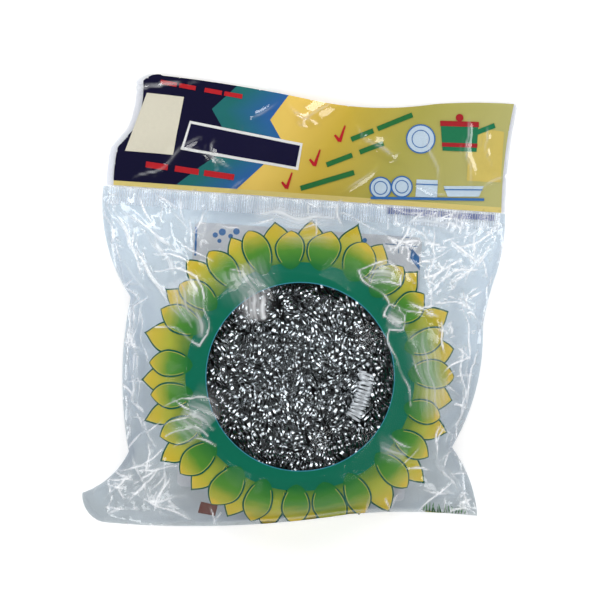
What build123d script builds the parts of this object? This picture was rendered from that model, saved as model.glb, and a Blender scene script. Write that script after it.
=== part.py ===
from build123d import *
import math
import os

# Stainless steel scourer in its sealed film bag, lying on its back.
# Millimetres. Origin under the middle of the film window, on the plane the bag lies on.
# +X to the right of the bag, +Y up to its header, +Z out of its front.

# Film and card
film_thickness = 0.3
weld_thickness = 0.2
card_thickness = 0.35
soft_clearance = 0.3
cut_overrun = 2.0

# Room in the pocket round the pad: beside it to the widest corner, below it and above it
pocket_side_room = 30.0
pocket_bottom_room = 6.0
pocket_mouth_room = 10.0
pocket_weld_width = 2.0
fold_lip_width = 1.5

# Mouth seal and the header's live fold
fold_tilt = -4.0
fold_gap = 0.3
seal_height = 6.0
seal_end_margin = 1.5
seal_plate_thickness = 0.3
seal_rib_height = 0.35
seal_rib_pitch = 1.0

# Header, measured along the fold and up from it
header_draw_in = 2.0
header_height = 38.5
header_weld_width = 2.4
header_rise = 2.0

# Insert card behind the scourer, narrower than the pad and a little taller
card_side_inset = 5.25
card_end_overhang = 1.0
card_centre_x = -0.2
card_centre_y = 4.5
card_tilt = -4.0
card_corner_radius = 2.0

# Scourer pad
pad_centre_x = -3.5
pad_centre_y = 0.0
pad_radius = 44.0
pad_half_height = 14.5
pad_rim_radius = 11.5

# Curled steel strand, drawn as the tube that its curls fill, wound over a plain core
strand_diameter = 5.4
strand_pitch = 6.0
strand_sides = 5
loose_wire_sides = 4
core_clearance = 0.3
arcs_per_loop = 4
samples_per_arc = 4

# Loose end of the strand on top of the pad, with its own curls
loose_wire_diameter = 0.9
loose_curl_pitch = 1.9
loose_curl_count = 10
arcs_per_curl = 2
loose_centre_x = 20.0
loose_centre_y = -6.0
loose_heading = -108.0

# Film lifted off the back of the bag by the pad and by the loose end on top of it, drawn
# tight from its foot to the pad's rim
tent_side_clearance = 1.3
tent_facet_length = 16.0
tent_waist_share = 0.35

# Outline of the pocket as shares of its half width and its depth below the window, down
# its left side, along its bottom fold and up its right side. Every second point is a
# corner between two arcs, and the points between bend the arcs.
pocket_left_shares = [
    (-0.903, 1.065),
    (-0.868, 0.800),
    (-0.778, 0.530),
    (-0.811, 0.180),
    (-0.787, -0.520),
    (-0.880, -0.700),
    (-1.000, -0.800),
    (-0.975, -0.930),
    (-0.905, -1.000),
]
pocket_bottom_shares = [
    (-0.905, -1.000),
    (-0.270, -1.020),
    (0.230, -0.945),
    (0.527, -0.930),
    (0.815, -0.958),
]
pocket_right_shares = [
    (0.815, -0.958),
    (0.790, -0.760),
    (0.698, -0.490),
    (0.815, -0.060),
    (0.840, 0.330),
    (0.868, 0.530),
    (0.905, 0.700),
    (0.930, 0.860),
    (0.943, 1.000),
]
# Facets of the lifted film above its waist: how far they lie out and up, as shares of the
# lifted film's own radius and height
tent_ring_shares = [
    (0.96, 0.48),
    (0.80, 0.84),
    (0.50, 1.00),
]

# Outline of the header as shares of its half width and its height above the fold, up its
# right edge, along its top and down its left edge
header_right_shares = [
    (0.972, 0.000),
    (0.970, 0.480),
    (0.996, 0.966),
]
header_top_shares = [
    (0.996, 0.966),
    (0.792, 0.951),
    (0.604, 0.914),
    (0.314, 0.843),
    (0.063, 0.862),
    (-0.332, 0.953),
    (-0.719, 1.000),
    (-0.771, 0.990),
    (-0.810, 0.935),
]
header_left_shares = [
    (-0.810, 0.935),
    (-0.811, 0.686),
    (-0.838, 0.504),
    (-0.874, 0.423),
    (-0.908, 0.337),
    (-0.917, 0.180),
    (-0.916, 0.000),
]
# Sections of the header's front leaf: place up it, left end, right end and lift, as
# shares of the header's height, its half width twice and the leaf's greatest lift
header_section_shares = [
    (0.00, -0.920, 0.975, 0.05),
    (0.30, -0.915, 0.972, 0.75),
    (0.65, -0.825, 0.985, 1.00),
    (1.02, -0.815, 1.000, 0.45),
]


def lengths(shares, width, height):
    return [(x * width, y * height) for x, y in shares]


def moved_in(points, inset):
    """The points of an outline that runs anticlockwise, each moved in square to it."""
    moved = []
    for i, (x, y) in enumerate(points):
        before, after = points[max(i - 1, 0)], points[min(i + 1, len(points) - 1)]
        along_x, along_y = after[0] - before[0], after[1] - before[1]
        far = math.hypot(along_x, along_y)
        moved.append((x - along_y * inset / far, y + along_x * inset / far))
    return moved


def arc_edges(points):
    """Arcs through each corner, the point after it and the next corner."""
    return [ThreePointArc(*points[i:i + 3]) for i in range(0, len(points) - 2, 2)]


def outline_face(points):
    return make_face(arc_edges(points) + [Line(points[-1], points[0])])


def edge_strip(points, stretch, width):
    """Flat strip of that width along the outline's inner side, over one stretch of it."""
    outer, inner = points[stretch], moved_in(points, width)[stretch]
    edges = arc_edges(outer) + arc_edges(inner)
    return make_face(edges + [Line(outer[0], inner[0]), Line(outer[-1], inner[-1])])


def raised(face, base, thickness):
    return Pos(0, 0, base) * extrude(face, thickness)


pocket_half_width = pad_radius + pocket_side_room
pocket_depth_below = pad_radius + pocket_bottom_room
fold_height = pad_centre_y + pad_radius + pocket_mouth_room + seal_height
header_half_width = pocket_half_width - header_draw_in
pocket_shares = pocket_left_shares + pocket_bottom_shares[1:] + pocket_right_shares[1:]
pocket_points = lengths(pocket_shares, pocket_half_width, pocket_depth_below)
left_side = slice(0, len(pocket_left_shares))
bottom_fold = slice(left_side.stop - 1, left_side.stop - 1 + len(pocket_bottom_shares))
right_side = slice(bottom_fold.stop - 1, len(pocket_points))
header_shares = header_right_shares + header_top_shares[1:] + header_left_shares[1:]
header_points = lengths(header_shares, header_half_width, header_height)
header_right_edge = slice(0, len(header_right_shares))
header_left_edge = slice(-len(header_left_shares), None)
fold_place = Pos(0, fold_height) * Rot(0, 0, fold_tilt)
weld_base = film_thickness
front_base = weld_base + weld_thickness
front_top = front_base + film_thickness
card_width = 2 * (pad_radius - card_side_inset)
card_height = 2 * (pad_radius + card_end_overhang)
pad_base = film_thickness + card_thickness + soft_clearance
pad_middle = pad_base + pad_half_height
core_inset = strand_diameter + core_clearance
strand_radius = strand_diameter / 2
loose_end_rise = soft_clearance + strand_diameter
tent_radius = pad_radius + tent_side_clearance
tent_height = pad_half_height + loose_end_rise + tent_side_clearance


def below_fold(point, drop):
    """Where the line straight up from point meets the fold, lowered by drop."""
    slope = math.tan(math.radians(fold_tilt))
    return (point[0], fold_height + point[0] * slope - drop)


def pocket_outline(inset, drop):
    """Pocket outline moved in by inset, its mouth that far below the fold."""
    points = moved_in(pocket_points, inset)
    left, right = below_fold(points[0], drop), below_fold(points[-1], drop)
    return [left] + points[1:-1] + [right]


def back_film():
    outline = pocket_outline(0, fold_gap)
    sheet = raised(outline_face(outline), 0, film_thickness)
    lip = edge_strip(outline, bottom_fold, fold_lip_width)
    return sheet + raised(lip, film_thickness, weld_thickness)


def side_weld(side):
    strip = edge_strip(pocket_outline(0, fold_gap), side, pocket_weld_width)
    return raised(strip, weld_base, weld_thickness)


def tent_corners(inset):
    """Corners of the line where the lifted film leaves the flat film, short of its tip."""
    outline = pocket_outline(pocket_weld_width + inset, fold_gap + seal_height + inset)
    return outline[left_side][:-3] + outline[bottom_fold][1:] + outline[right_side][1:]


def tent_foot(inset):
    """The same line with points between far corners, equally many at any inset."""
    corners, guide = tent_corners(inset), tent_corners(0)
    foot = []
    for i in range(len(corners)):
        steps = math.ceil(math.dist(guide[i - 1], guide[i]) / tent_facet_length)
        for step in range(steps):
            share = step / steps
            foot.append(tuple(a + (b - a) * share for a, b in zip(corners[i - 1], corners[i])))
    return foot


def tent_ring(turns, radii, height):
    """Polygon round the pad's axis, with a radius for each turn."""
    return [(pad_centre_x + radius * math.cos(turn), pad_centre_y + radius * math.sin(turn),
             height) for turn, radius in zip(turns, radii)]


def tent(inset):
    """Faceted solid under the film, over the pad, drawn in and lowered by inset."""
    pad_place = (pad_centre_x, pad_centre_y)
    turns = [math.atan2(y - pad_centre_y, x - pad_centre_x) for x, y in tent_foot(0)]
    reaches = [math.dist(pad_place, corner) for corner in tent_foot(0)]
    waist = [max(tent_radius, tent_radius + tent_waist_share * (reach - tent_radius)) - inset
             for reach in reaches]
    sections = [[(x, y, front_base) for x, y in tent_foot(inset)],
                tent_ring(turns, waist, pad_middle)]
    for out_share, up_share in tent_ring_shares:
        radius = out_share * tent_radius - inset
        height = pad_middle + up_share * tent_height
        sections.append(tent_ring(turns, [radius] * len(turns), height))
    wires = [Wire.make_polygon(section) for section in sections]
    return Pos(0, 0, -inset) * Solid.make_loft(wires, True)


def front_film():
    flange = raised(outline_face(pocket_outline(0, fold_gap)), front_base, film_thickness)
    return flange + tent(0) - tent(film_thickness)


def mouth_seal():
    """Crimped band across the mouth: a thin plate with a row of sharp ribs."""
    left = pocket_points[0][0] + seal_end_margin
    right = pocket_points[-1][0] - seal_end_margin
    rib_count = round((right - left) / seal_rib_pitch)
    pitch = (right - left) / rib_count
    valley = front_top + seal_plate_thickness
    teeth = []
    for i in range(rib_count):
        place = right - i * pitch
        teeth += [(place, valley), (place - pitch / 2, valley + seal_rib_height)]
    corners = [(left, front_top), (right, front_top)]
    profile = Polyline(*corners, *teeth, (left, valley), close=True)
    band = extrude(Plane.XZ * make_face(profile), seal_height)
    return fold_place * Pos(0, -fold_gap, 0) * band


def header_back_leaf():
    return fold_place * raised(outline_face(header_points), 0, film_thickness)


def header_weld(edge):
    strip = edge_strip(header_points, edge, header_weld_width)
    return fold_place * raised(strip, weld_base, weld_thickness)


def leaf_section(up_share, left_share, right_share, lift_share):
    """Thin arched band across the header, from its left edge to its right."""
    left, right = left_share * header_half_width, right_share * header_half_width
    middle, lift = (left + right) / 2, lift_share * header_rise
    upper = ThreePointArc((left, front_top), (middle, front_top + lift), (right, front_top))
    lower = ThreePointArc((right, front_base), (middle, front_base + lift), (left, front_base))
    ends = [Line((right, front_top), (right, front_base)),
            Line((left, front_base), (left, front_top))]
    band = Wire([upper, ends[0], lower, ends[1]])
    return Pos(0, up_share * header_height, 0) * (Plane.XZ * band)


def header_front_leaf():
    """Printed front leaf, lifted off the back leaf in the middle, cut to the outline."""
    leaf = Solid.make_loft([leaf_section(*shares) for shares in header_section_shares])
    height = front_top + header_rise + cut_overrun
    return fold_place * (leaf & raised(outline_face(header_points), 0, height))


def insert_card():
    card = RectangleRounded(card_width, card_height, card_corner_radius)
    place = Pos(card_centre_x, card_centre_y) * Rot(0, 0, card_tilt)
    return place * raised(card, film_thickness, card_thickness)


def rounded_profile(radius, half_height, rim_radius):
    """Rim centre, crown angle and crown radius of a lens with a round rim, all tangent."""
    rim_centre = radius - rim_radius
    crown_angle = 2 * math.atan((half_height - rim_radius) / rim_centre)
    crown_radius = rim_radius + rim_centre / math.sin(crown_angle)
    return rim_centre, crown_angle, crown_radius


def lens_point(profile, rim_radius, half_height, angle):
    """Point of the profile whose outward normal leans by angle from straight up."""
    rim_centre, crown_angle, crown_radius = profile
    if angle < crown_angle:
        drop = crown_radius * (1 - math.cos(angle))
        return (crown_radius * math.sin(angle), half_height - drop)
    if angle > math.pi - crown_angle:
        across, up = lens_point(profile, rim_radius, half_height, math.pi - angle)
        return (across, -up)
    return (rim_centre + rim_radius * math.sin(angle), rim_radius * math.cos(angle))


def scourer_core():
    """Plain faceted solid of revolution that fills the pad inside its outer turns."""
    half_height, rim_radius = pad_half_height - core_inset, pad_rim_radius - core_inset
    profile = rounded_profile(pad_radius - core_inset, half_height, rim_radius)
    crown_angle = profile[1]
    shoulder_angle = (crown_angle + math.pi / 2) / 2
    upper_angles = [0, crown_angle, shoulder_angle, math.pi / 2]
    angles = upper_angles + [math.pi - angle for angle in reversed(upper_angles[:-1])]
    points = [lens_point(profile, rim_radius, half_height, angle) for angle in angles]
    core = revolve(Plane.XZ * make_face(Polyline(*points, close=True)), Axis.Z)
    return Pos(pad_centre_x, pad_centre_y, pad_middle) * core


def biarc(start, start_tangent, end, end_tangent):
    """Two arcs, tangent to each other, that leave start and reach end along the tangents."""
    chord, both = end - start, start_tangent + end_tangent
    a = 2 * (start_tangent.dot(end_tangent) - 1)
    b = -2 * chord.dot(both)
    c = chord.dot(chord)
    reach = (-b - math.sqrt(b * b - 4 * a * c)) / (2 * a)
    near, far = start + start_tangent * reach, end - end_tangent * reach
    joint, joint_tangent = (near + far) / 2, (far - near).normalized()
    return [Edge.make_tangent_arc(start, start_tangent, joint),
            Edge.make_tangent_arc(joint, joint_tangent, end)]


def tube(edges, diameter, sides):
    """Straight-sided tube along the edges, with flat ends square to them."""
    place = Plane(origin=edges[0] @ 0, z_dir=edges[0] % 0)
    section = place * RegularPolygon(diameter / 2, sides)
    return sweep(section, path=Wire(edges))


def least_gap(edges, diameter):
    """Least space between two stretches of a tube that lie over two diameters apart on it."""
    points, places, place = [], [], 0
    for edge in edges:
        for i in range(samples_per_arc):
            share = i / samples_per_arc
            points.append(edge @ share)
            places.append(place + share * edge.length)
        place += edge.length
    apart = [(one - other).length
             for i, one in enumerate(points) for j, other in enumerate(points[:i])
             if places[i] - places[j] > 3 * diameter]
    return min(apart) - diameter


def strand_station(profile, rim_radius, half_height, along, turn, slope):
    """Point and direction of the winding, that far along the pad's side from its top."""
    crown_angle, crown_radius = profile[1], profile[2]
    crown, rim = crown_radius * crown_angle, rim_radius * (math.pi - 2 * crown_angle)
    if along < crown:
        angle = along / crown_radius
    elif along < crown + rim:
        angle = crown_angle + (along - crown) / rim_radius
    else:
        angle = math.pi - crown_angle + (along - crown - rim) / crown_radius
    across, up = lens_point(profile, rim_radius, half_height, angle)
    outward = Vector(math.cos(turn), math.sin(turn), 0)
    sideways = Vector(-math.sin(turn), math.cos(turn), 0)
    point = outward * across + Vector(0, 0, up)
    down_side = outward * math.cos(angle) - Vector(0, 0, math.sin(angle))
    return point, (sideways * across + down_side * slope).normalized()


def strand_path():
    """Centre line of the winding: over the top, down round the rim and in underneath."""
    half_height = pad_half_height - strand_radius
    rim_radius = pad_rim_radius - strand_radius
    profile = rounded_profile(pad_radius - strand_radius, half_height, rim_radius)
    side = 2 * profile[2] * profile[1] + rim_radius * (math.pi - 2 * profile[1])
    first, last = 2 * strand_diameter, side - 2 * strand_diameter
    steps = math.floor(arcs_per_loop * (last - first) / strand_pitch)
    step_turn = 2 * math.pi / arcs_per_loop
    slope = (last - first) / (steps * step_turn)
    stations = []
    for i in range(steps + 1):
        turn = i * step_turn
        along = first + i * (last - first) / steps
        stations.append(strand_station(profile, rim_radius, half_height, along, turn, slope))
    end_turn = (steps - 1) * step_turn
    entry = Vector(0, -strand_radius, half_height), Vector(0, strand_radius, half_height)
    entry_way = Vector(0, -1, 0)
    leave_way = Vector(math.cos(end_turn), math.sin(end_turn), 0)
    bottom = Vector(0, 0, -half_height)
    edges = [Edge.make_line(entry[1], entry[0])]
    edges += biarc(entry[0], entry_way, *stations[0])
    for one, other in zip(stations, stations[1:]):
        edges += biarc(*one, *other)
    edges += biarc(*stations[-1], bottom - leave_way * strand_radius, leave_way)
    edges.append(Edge.make_line(bottom - leave_way * strand_radius,
                                bottom + leave_way * strand_radius))
    place = Pos(pad_centre_x, pad_centre_y, pad_middle)
    return [place * edge for edge in edges], 1 + steps / arcs_per_loop


def loose_path():
    """Centre line of the loose end's curls, a helix along X, with short straight ends."""
    curl_radius = (strand_diameter - loose_wire_diameter) / 2
    rise = loose_curl_pitch / (2 * math.pi)
    step_turn = 2 * math.pi / arcs_per_curl
    stations = []
    for i in range(loose_curl_count * arcs_per_curl + 1):
        turn = i * step_turn
        round_point = Vector(0, curl_radius * math.cos(turn), curl_radius * math.sin(turn))
        way = Vector(rise, -curl_radius * math.sin(turn), curl_radius * math.cos(turn))
        stations.append((round_point + Vector(rise * turn, 0, 0), way.normalized()))
    (start, start_way), (end, end_way) = stations[0], stations[-1]
    edges = [Edge.make_line(start - start_way * loose_wire_diameter, start)]
    for one, other in zip(stations, stations[1:]):
        edges += biarc(*one, *other)
    edges.append(Edge.make_line(end, end + end_way * loose_wire_diameter))
    length = loose_curl_pitch * loose_curl_count
    return [Pos(-length / 2, 0, 0) * edge for edge in edges]


def loose_place():
    """Where the loose end lies: along the pad's crown, just clear of the winding."""
    profile = rounded_profile(pad_radius, pad_half_height, pad_rim_radius)
    across, up = loose_centre_x - pad_centre_x, loose_centre_y - pad_centre_y
    heading = math.radians(loose_heading)
    nearest = across * math.sin(heading) - up * math.cos(heading)
    crown_drop = profile[2] - math.sqrt(profile[2] ** 2 - nearest ** 2)
    crown = pad_middle + pad_half_height - crown_drop
    height = crown + loose_end_rise - strand_radius
    return Pos(loose_centre_x, loose_centre_y, height) * Rot(0, 0, loose_heading)


strand_edges, strand_loops = strand_path()
loose_edges = loose_path()
print("winding: loops", strand_loops, "length", round(sum(e.length for e in strand_edges)),
      "least gap to itself", round(least_gap(strand_edges, strand_diameter), 2))
print("loose end: curls", loose_curl_count,
      "least gap to itself", round(least_gap(loose_edges, loose_wire_diameter), 2))

nodes = {
    "back_film": back_film(),
    "front_film": front_film(),
    "side_weld_left": side_weld(left_side),
    "side_weld_right": side_weld(right_side),
    "mouth_seal": mouth_seal(),
    "header_back_leaf": header_back_leaf(),
    "header_front_leaf": header_front_leaf(),
    "header_weld_left": header_weld(header_left_edge),
    "header_weld_right": header_weld(header_right_edge),
    "insert_card": insert_card(),
    "scourer_core": scourer_core(),
    "scourer_strand": tube(strand_edges, strand_diameter, strand_sides),
    "loose_strand_end": loose_place() * tube(loose_edges, loose_wire_diameter,
                                             loose_wire_sides),
}

os.makedirs("parts", exist_ok=True)
for name, shape in nodes.items():
    export_step(shape, f"parts/{name}.step")
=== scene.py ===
"""Steel pot scourer in its printed film bag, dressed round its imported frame.

The bag lies on its back. Metres, +X to the right, +Y up to the header, +Z out of the front.
"""

import logging
import math
from dataclasses import dataclass, field, replace
from enum import Enum

import bmesh
import bpy
import numpy as np
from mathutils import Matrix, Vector
from mathutils.bvhtree import BVHTree


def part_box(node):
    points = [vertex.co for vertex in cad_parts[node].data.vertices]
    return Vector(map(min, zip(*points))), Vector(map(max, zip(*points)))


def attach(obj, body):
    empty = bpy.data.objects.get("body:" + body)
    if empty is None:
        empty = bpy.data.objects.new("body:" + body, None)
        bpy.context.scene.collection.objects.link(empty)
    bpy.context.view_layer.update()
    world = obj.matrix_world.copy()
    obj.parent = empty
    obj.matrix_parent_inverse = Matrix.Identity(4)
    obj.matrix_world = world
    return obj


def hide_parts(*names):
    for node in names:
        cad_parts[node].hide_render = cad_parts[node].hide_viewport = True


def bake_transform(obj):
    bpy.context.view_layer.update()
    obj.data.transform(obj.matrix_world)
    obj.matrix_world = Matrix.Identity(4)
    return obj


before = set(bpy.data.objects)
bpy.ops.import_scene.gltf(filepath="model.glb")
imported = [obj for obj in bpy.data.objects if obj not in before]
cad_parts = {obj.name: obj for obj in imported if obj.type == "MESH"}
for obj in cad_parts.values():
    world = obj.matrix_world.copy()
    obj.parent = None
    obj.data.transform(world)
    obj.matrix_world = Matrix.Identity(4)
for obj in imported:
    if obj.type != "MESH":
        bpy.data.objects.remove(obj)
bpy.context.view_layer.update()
MM = 0.001
# Attribute of crease whiteness: partly stress whitening, partly painted highlight.
CREASE_HIGHLIGHT = "crease"
TIGHT = "tight"
UP = Vector((0.0, 0.0, 1.0))
JOINED = 1e-6
FACING_DOWN, FACING_UP = -0.9, 0.1
SHARP_BEND, FULL_BEND = 0.24, 0.79
CAST_FROM = 1.0
CUT_MARGIN = 1.02
SNAP_INSIDE, SNAP_OUTSIDE = 0.35, 0.72
WOBBLE = 0.0008
# Flat folds this wide or wider are painted glare patches.
WIDE_GLARE = 6.0
END_HEADING = math.radians(-108.0)
WHITE = (1.0, 1.0, 1.0, 1.0)
BACK_INK_HEIGHT, STRIP_HEIGHT = 0.00042, 0.00056
log = logging.getLogger("scourer_pack")


class Body(Enum):
    """The bodies that the pieces ride on."""

    BAG = "bag"
    HEADER = "header"


class Slot(Enum):
    """The record's material slots."""

    CLEAR_FILM = "clear_film"
    WELDED_FILM = "welded_film"
    CRIMPED_FILM = "crimped_film"
    HEADER_FRONT = "header_front_print"
    HEADER_BACK = "header_back_print"
    CARD = "card"
    TANGLE = "steel_tangle"
    RIBBON = "steel_ribbon"


def colour(red: int, green: int, blue: int) -> tuple[float, float, float, float]:
    """Turns a colour as it is seen on a screen into the linear values that shaders take.

    Args:
        red: Red, 0 to 255.
        green: Green, 0 to 255.
        blue: Blue, 0 to 255.

    Returns:
        Linear red, green, blue and a full alpha.
    """
    linear = []
    for part in (red / 255, green / 255, blue / 255):
        linear.append(part / 12.92 if part <= 0.04045 else ((part + 0.055) / 1.055) ** 2.4)
    return (linear[0], linear[1], linear[2], 1.0)


class Graph:
    """A material's node graph, built one node at a time."""

    def __init__(self, name: str) -> None:
        """Starts an empty graph.

        Args:
            name: The material's name.
        """
        self.material = bpy.data.materials.new(name)
        self.material.use_nodes = True
        self.tree = self.material.node_tree
        self.tree.nodes.clear()

    def feed(self, socket: bpy.types.NodeSocket, value: object) -> None:
        """Feeds an input with another node's output, or with a plain value.

        Args:
            socket: The input.
            value: The output socket or the value.
        """
        if isinstance(value, bpy.types.NodeSocket):
            self.tree.links.new(value, socket)
        else:
            socket.default_value = value

    def add(self, kind: str, inputs: dict | None = None, **settings: object) -> bpy.types.Node:
        """Adds a node.

        Args:
            kind: The node's type without the words ShaderNode.
            inputs: Values or output sockets for its inputs, by name or number.
            **settings: The node's own settings.

        Returns:
            The node.
        """
        node = self.tree.nodes.new("ShaderNode" + kind)
        for name, value in settings.items():
            setattr(node, name, value)
        for name, value in (inputs or {}).items():
            self.feed(node.inputs[name], value)
        return node

    def math(self, operation: str, one: object, other: object = 0.0) -> bpy.types.NodeSocket:
        """Adds a Math node and returns its result."""
        return self.add("Math", {0: one, 1: other}, operation=operation).outputs[0]

    def mixed(self, share: object, one: object, other: object) -> bpy.types.NodeSocket:
        """Mixes two colours by share and returns the result."""
        return self.add("Mix", {0: share, 6: one, 7: other}, data_type="RGBA").outputs[2]

    def times(self, one: object, other: object) -> bpy.types.NodeSocket:
        """Multiplies two values and returns the result."""
        return self.math("MULTIPLY", one, other)

    def minus(self, one: object, other: object) -> bpy.types.NodeSocket:
        """Takes the second value from the first and returns the result."""
        return self.math("SUBTRACT", one, other)

    def layered(self, share: object, under: object, over: object) -> bpy.types.NodeSocket:
        """Mixes two shaders by share and returns the result."""
        return self.add("MixShader", {0: share, 1: under, 2: over}).outputs[0]

    def place(self, kind: str = "Object") -> bpy.types.NodeSocket:
        """Returns the coordinates of that kind."""
        return self.add("TexCoord").outputs[kind]

    def axes(self, kind: str = "Object") -> bpy.types.bpy_prop_collection:
        """Returns the coordinates of that kind, axis by axis."""
        return self.add("SeparateXYZ", {0: self.place(kind)}).outputs

    def noise(self, scale: float, detail: float = 2.0) -> bpy.types.NodeSocket:
        """Adds a noise texture on Object coordinates and returns its value."""
        inputs = {"Vector": self.place(), "Scale": scale, "Detail": detail}
        return self.add("TexNoise", inputs).outputs[0]

    def ramp(self, share: object, stops: list[tuple]) -> bpy.types.NodeSocket:
        """Adds a colour ramp.

        Args:
            share: Where to read it.
            stops: Its places, 0 to 1, each with a colour.

        Returns:
            The colour read.
        """
        node = self.add("ValToRGB", {0: share})
        elements = node.color_ramp.elements
        for element, (place, tint) in zip(elements, (stops[0], stops[-1])):
            element.position, element.color = place, tint
        for place, tint in stops[1:-1]:
            elements.new(place).color = tint
        return node.outputs[0]

    def bump(self, height: object, strength: float, distance: float) -> bpy.types.NodeSocket:
        """Adds a bump of that height in metres and returns the normal."""
        inputs = {"Height": height, "Strength": strength, "Distance": distance}
        return self.add("Bump", inputs).outputs[0]

    def finish(self, shader: bpy.types.NodeSocket) -> bpy.types.Material:
        """Joins the shader to the output and returns the material."""
        self.add("OutputMaterial", {"Surface": shader})
        return self.material


@dataclass(frozen=True)
class FilmFinish:
    """Clear polypropylene film, glossy, faintly grey, white where it is creased sharply: partly
    the film's stress whitening, partly painted highlight.
    """

    name: str = "clear_film"
    tint: tuple = (0.95, 0.972, 0.984, 1.0)
    haze_and_highlight: tuple = colour(250, 252, 255)
    steep_tint: tuple = (0.7, 0.73, 0.8, 1.0)
    haze_share: float = 0.002
    crease_highlight_share: float = 0.8
    gloss_roughness: float = 0.085
    steepening: float = 1.6
    mirror: float = 0.085
    calm: float = 0.9
    crinkle_scale: float = 190.0
    crinkle_depth: float = 0.00006

    def relief(self, graph: Graph) -> bpy.types.NodeSocket:
        """Returns the height of the film's fine relief."""
        return graph.noise(self.crinkle_scale, 3.0)

    def whiteness_with_highlight(self, graph: Graph) -> bpy.types.NodeSocket:
        """Returns how white the film is from place to place: faintly all over, and at the creases
        partly as stress whitening and partly as painted highlight.
        """
        crease = graph.add("Attribute", attribute_name=CREASE_HIGHLIGHT).outputs["Fac"]
        return graph.math("ADD", graph.times(crease, self.crease_highlight_share), self.haze_share)

    def shown(self, graph: Graph) -> object:
        """Returns the colour that the film lends to what is seen square through it."""
        return self.tint

    def make(self) -> bpy.types.Material:
        """Mixes the film's material: see-through, hazed, whitened at creases partly as painted
        highlight, with a film's mirror on top.

        Returns:
            The material.
        """
        graph = Graph(self.name)
        normal = graph.bump(self.relief(graph), 1.0, self.crinkle_depth)
        facing = graph.add("LayerWeight", {"Blend": 0.5, "Normal": normal}).outputs["Facing"]
        steep = graph.math("POWER", facing, self.steepening)
        through = graph.mixed(steep, self.shown(graph), self.steep_tint)
        clear = graph.add("BsdfTransparent", {"Color": through}).outputs[0]
        # A white diffuse layer: the film's faint milkiness and the creases' painted highlight.
        haze_and_highlight = graph.add("BsdfDiffuse", {"Color": self.haze_and_highlight, "Normal": normal}).outputs[0]
        body = graph.layered(self.whiteness_with_highlight(graph), clear, haze_and_highlight)
        gloss = graph.add("BsdfGlossy", {"Color": WHITE, "Normal": normal,
                                         "Roughness": self.gloss_roughness}).outputs[0]
        square = graph.minus(1.0, facing)
        tight = graph.add("Attribute", attribute_name=TIGHT).outputs["Fac"]
        calm = graph.minus(1.0, graph.times(tight, self.calm))
        mirror = graph.times(graph.times(graph.times(square, square), self.mirror), calm)
        return graph.finish(graph.layered(mirror, body, gloss))


@dataclass(frozen=True)
class BackFilmFinish(FilmFinish):
    """The film under the goods, greyer towards the foot of the bag as painted shade."""

    foot_shade: tuple = (0.62, 0.65, 0.66, 1.0)
    grey_from: float = 0.012
    grey_to: float = -0.046
    patch_scale: float = 70.0

    def shown(self, graph: Graph) -> object:
        """Mixes the film's colour by how near to the bag's foot it lies, as painted shade.

        Args:
            graph: The graph to add to.

        Returns:
            The colour.
        """
        share = graph.add("MapRange", {"Value": graph.axes()[1], "From Min": self.grey_from,
                                       "From Max": self.grey_to}).outputs[0]
        patchy = graph.math("ADD", graph.noise(self.patch_scale, 3.0), 0.5)
        # Painted shade, uneven, darkening the film towards the foot.
        return graph.mixed(graph.times(share, patchy), self.tint, self.foot_shade)


@dataclass(frozen=True)
class CrimpFinish(FilmFinish):
    """The heat seal's film, pressed into fine upright ribs that are whitened as painted
    highlight.
    """

    rib_scale: float = 370.0
    turn: float = math.radians(4.0)
    rib_highlight_share: float = 0.3
    patch_scale: float = 110.0
    patch_strength: float = 1.6

    def relief(self, graph: Graph) -> bpy.types.NodeSocket:
        """Draws the ribs' height, uneven from place to place.

        Args:
            graph: The graph to add to.

        Returns:
            The height.
        """
        turned = {0: graph.place(), "Rotation": (0.0, 0.0, self.turn)}
        ribs = graph.add("TexWave", {"Vector": graph.add("Mapping", turned).outputs[0],
                                     "Scale": self.rib_scale, "Distortion": 0.6}).outputs[1]
        patchy = graph.times(graph.noise(self.patch_scale, 3.0), self.patch_strength)
        return graph.times(ribs, patchy)

    def whiteness_with_highlight(self, graph: Graph) -> bpy.types.NodeSocket:
        """Returns how white the seal is, most on the ribs, where the white is painted highlight.
        """
        # Painted highlight along the ribs.
        white = graph.times(self.relief(graph), self.rib_highlight_share)
        return graph.math("ADD", white, self.haze_share)


@dataclass(frozen=True)
class InkFinish:
    """A flat printing ink on film or card, mottled a little as gravure print is."""

    name: str
    tint: tuple
    shade: float = 0.82
    roughness: float = 0.45
    opacity: float = 1.0
    mottle_scale: float = 900.0
    shine: float = 0.06

    def colours(self, graph: Graph) -> bpy.types.NodeSocket:
        """Returns the ink's colour with its mottle."""
        dark = tuple(part * self.shade for part in self.tint[:3]) + (1.0,)
        return graph.mixed(graph.noise(self.mottle_scale), dark, self.tint)

    def make(self) -> bpy.types.Material:
        """Returns the ink's material."""
        graph = Graph(self.name)
        return self.laid(graph, self.colours(graph))

    def laid(self, graph: Graph, shown: bpy.types.NodeSocket) -> bpy.types.Material:
        """Returns the material of an ink layer in the colour shown.

        Args:
            graph: The graph to finish.
            shown: The ink's colour.

        Returns:
            The material, partly see-through where the opacity is under 1.
        """
        inputs = {"Base Color": shown, "Roughness": self.roughness,
                  "Specular IOR Level": self.shine}
        ink = graph.add("BsdfPrincipled", inputs).outputs[0]
        if self.opacity >= 1.0:
            return graph.finish(ink)
        through = graph.add("BsdfTransparent", {"Color": shown}).outputs[0]
        return graph.finish(graph.layered(self.opacity, through, ink))


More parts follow.
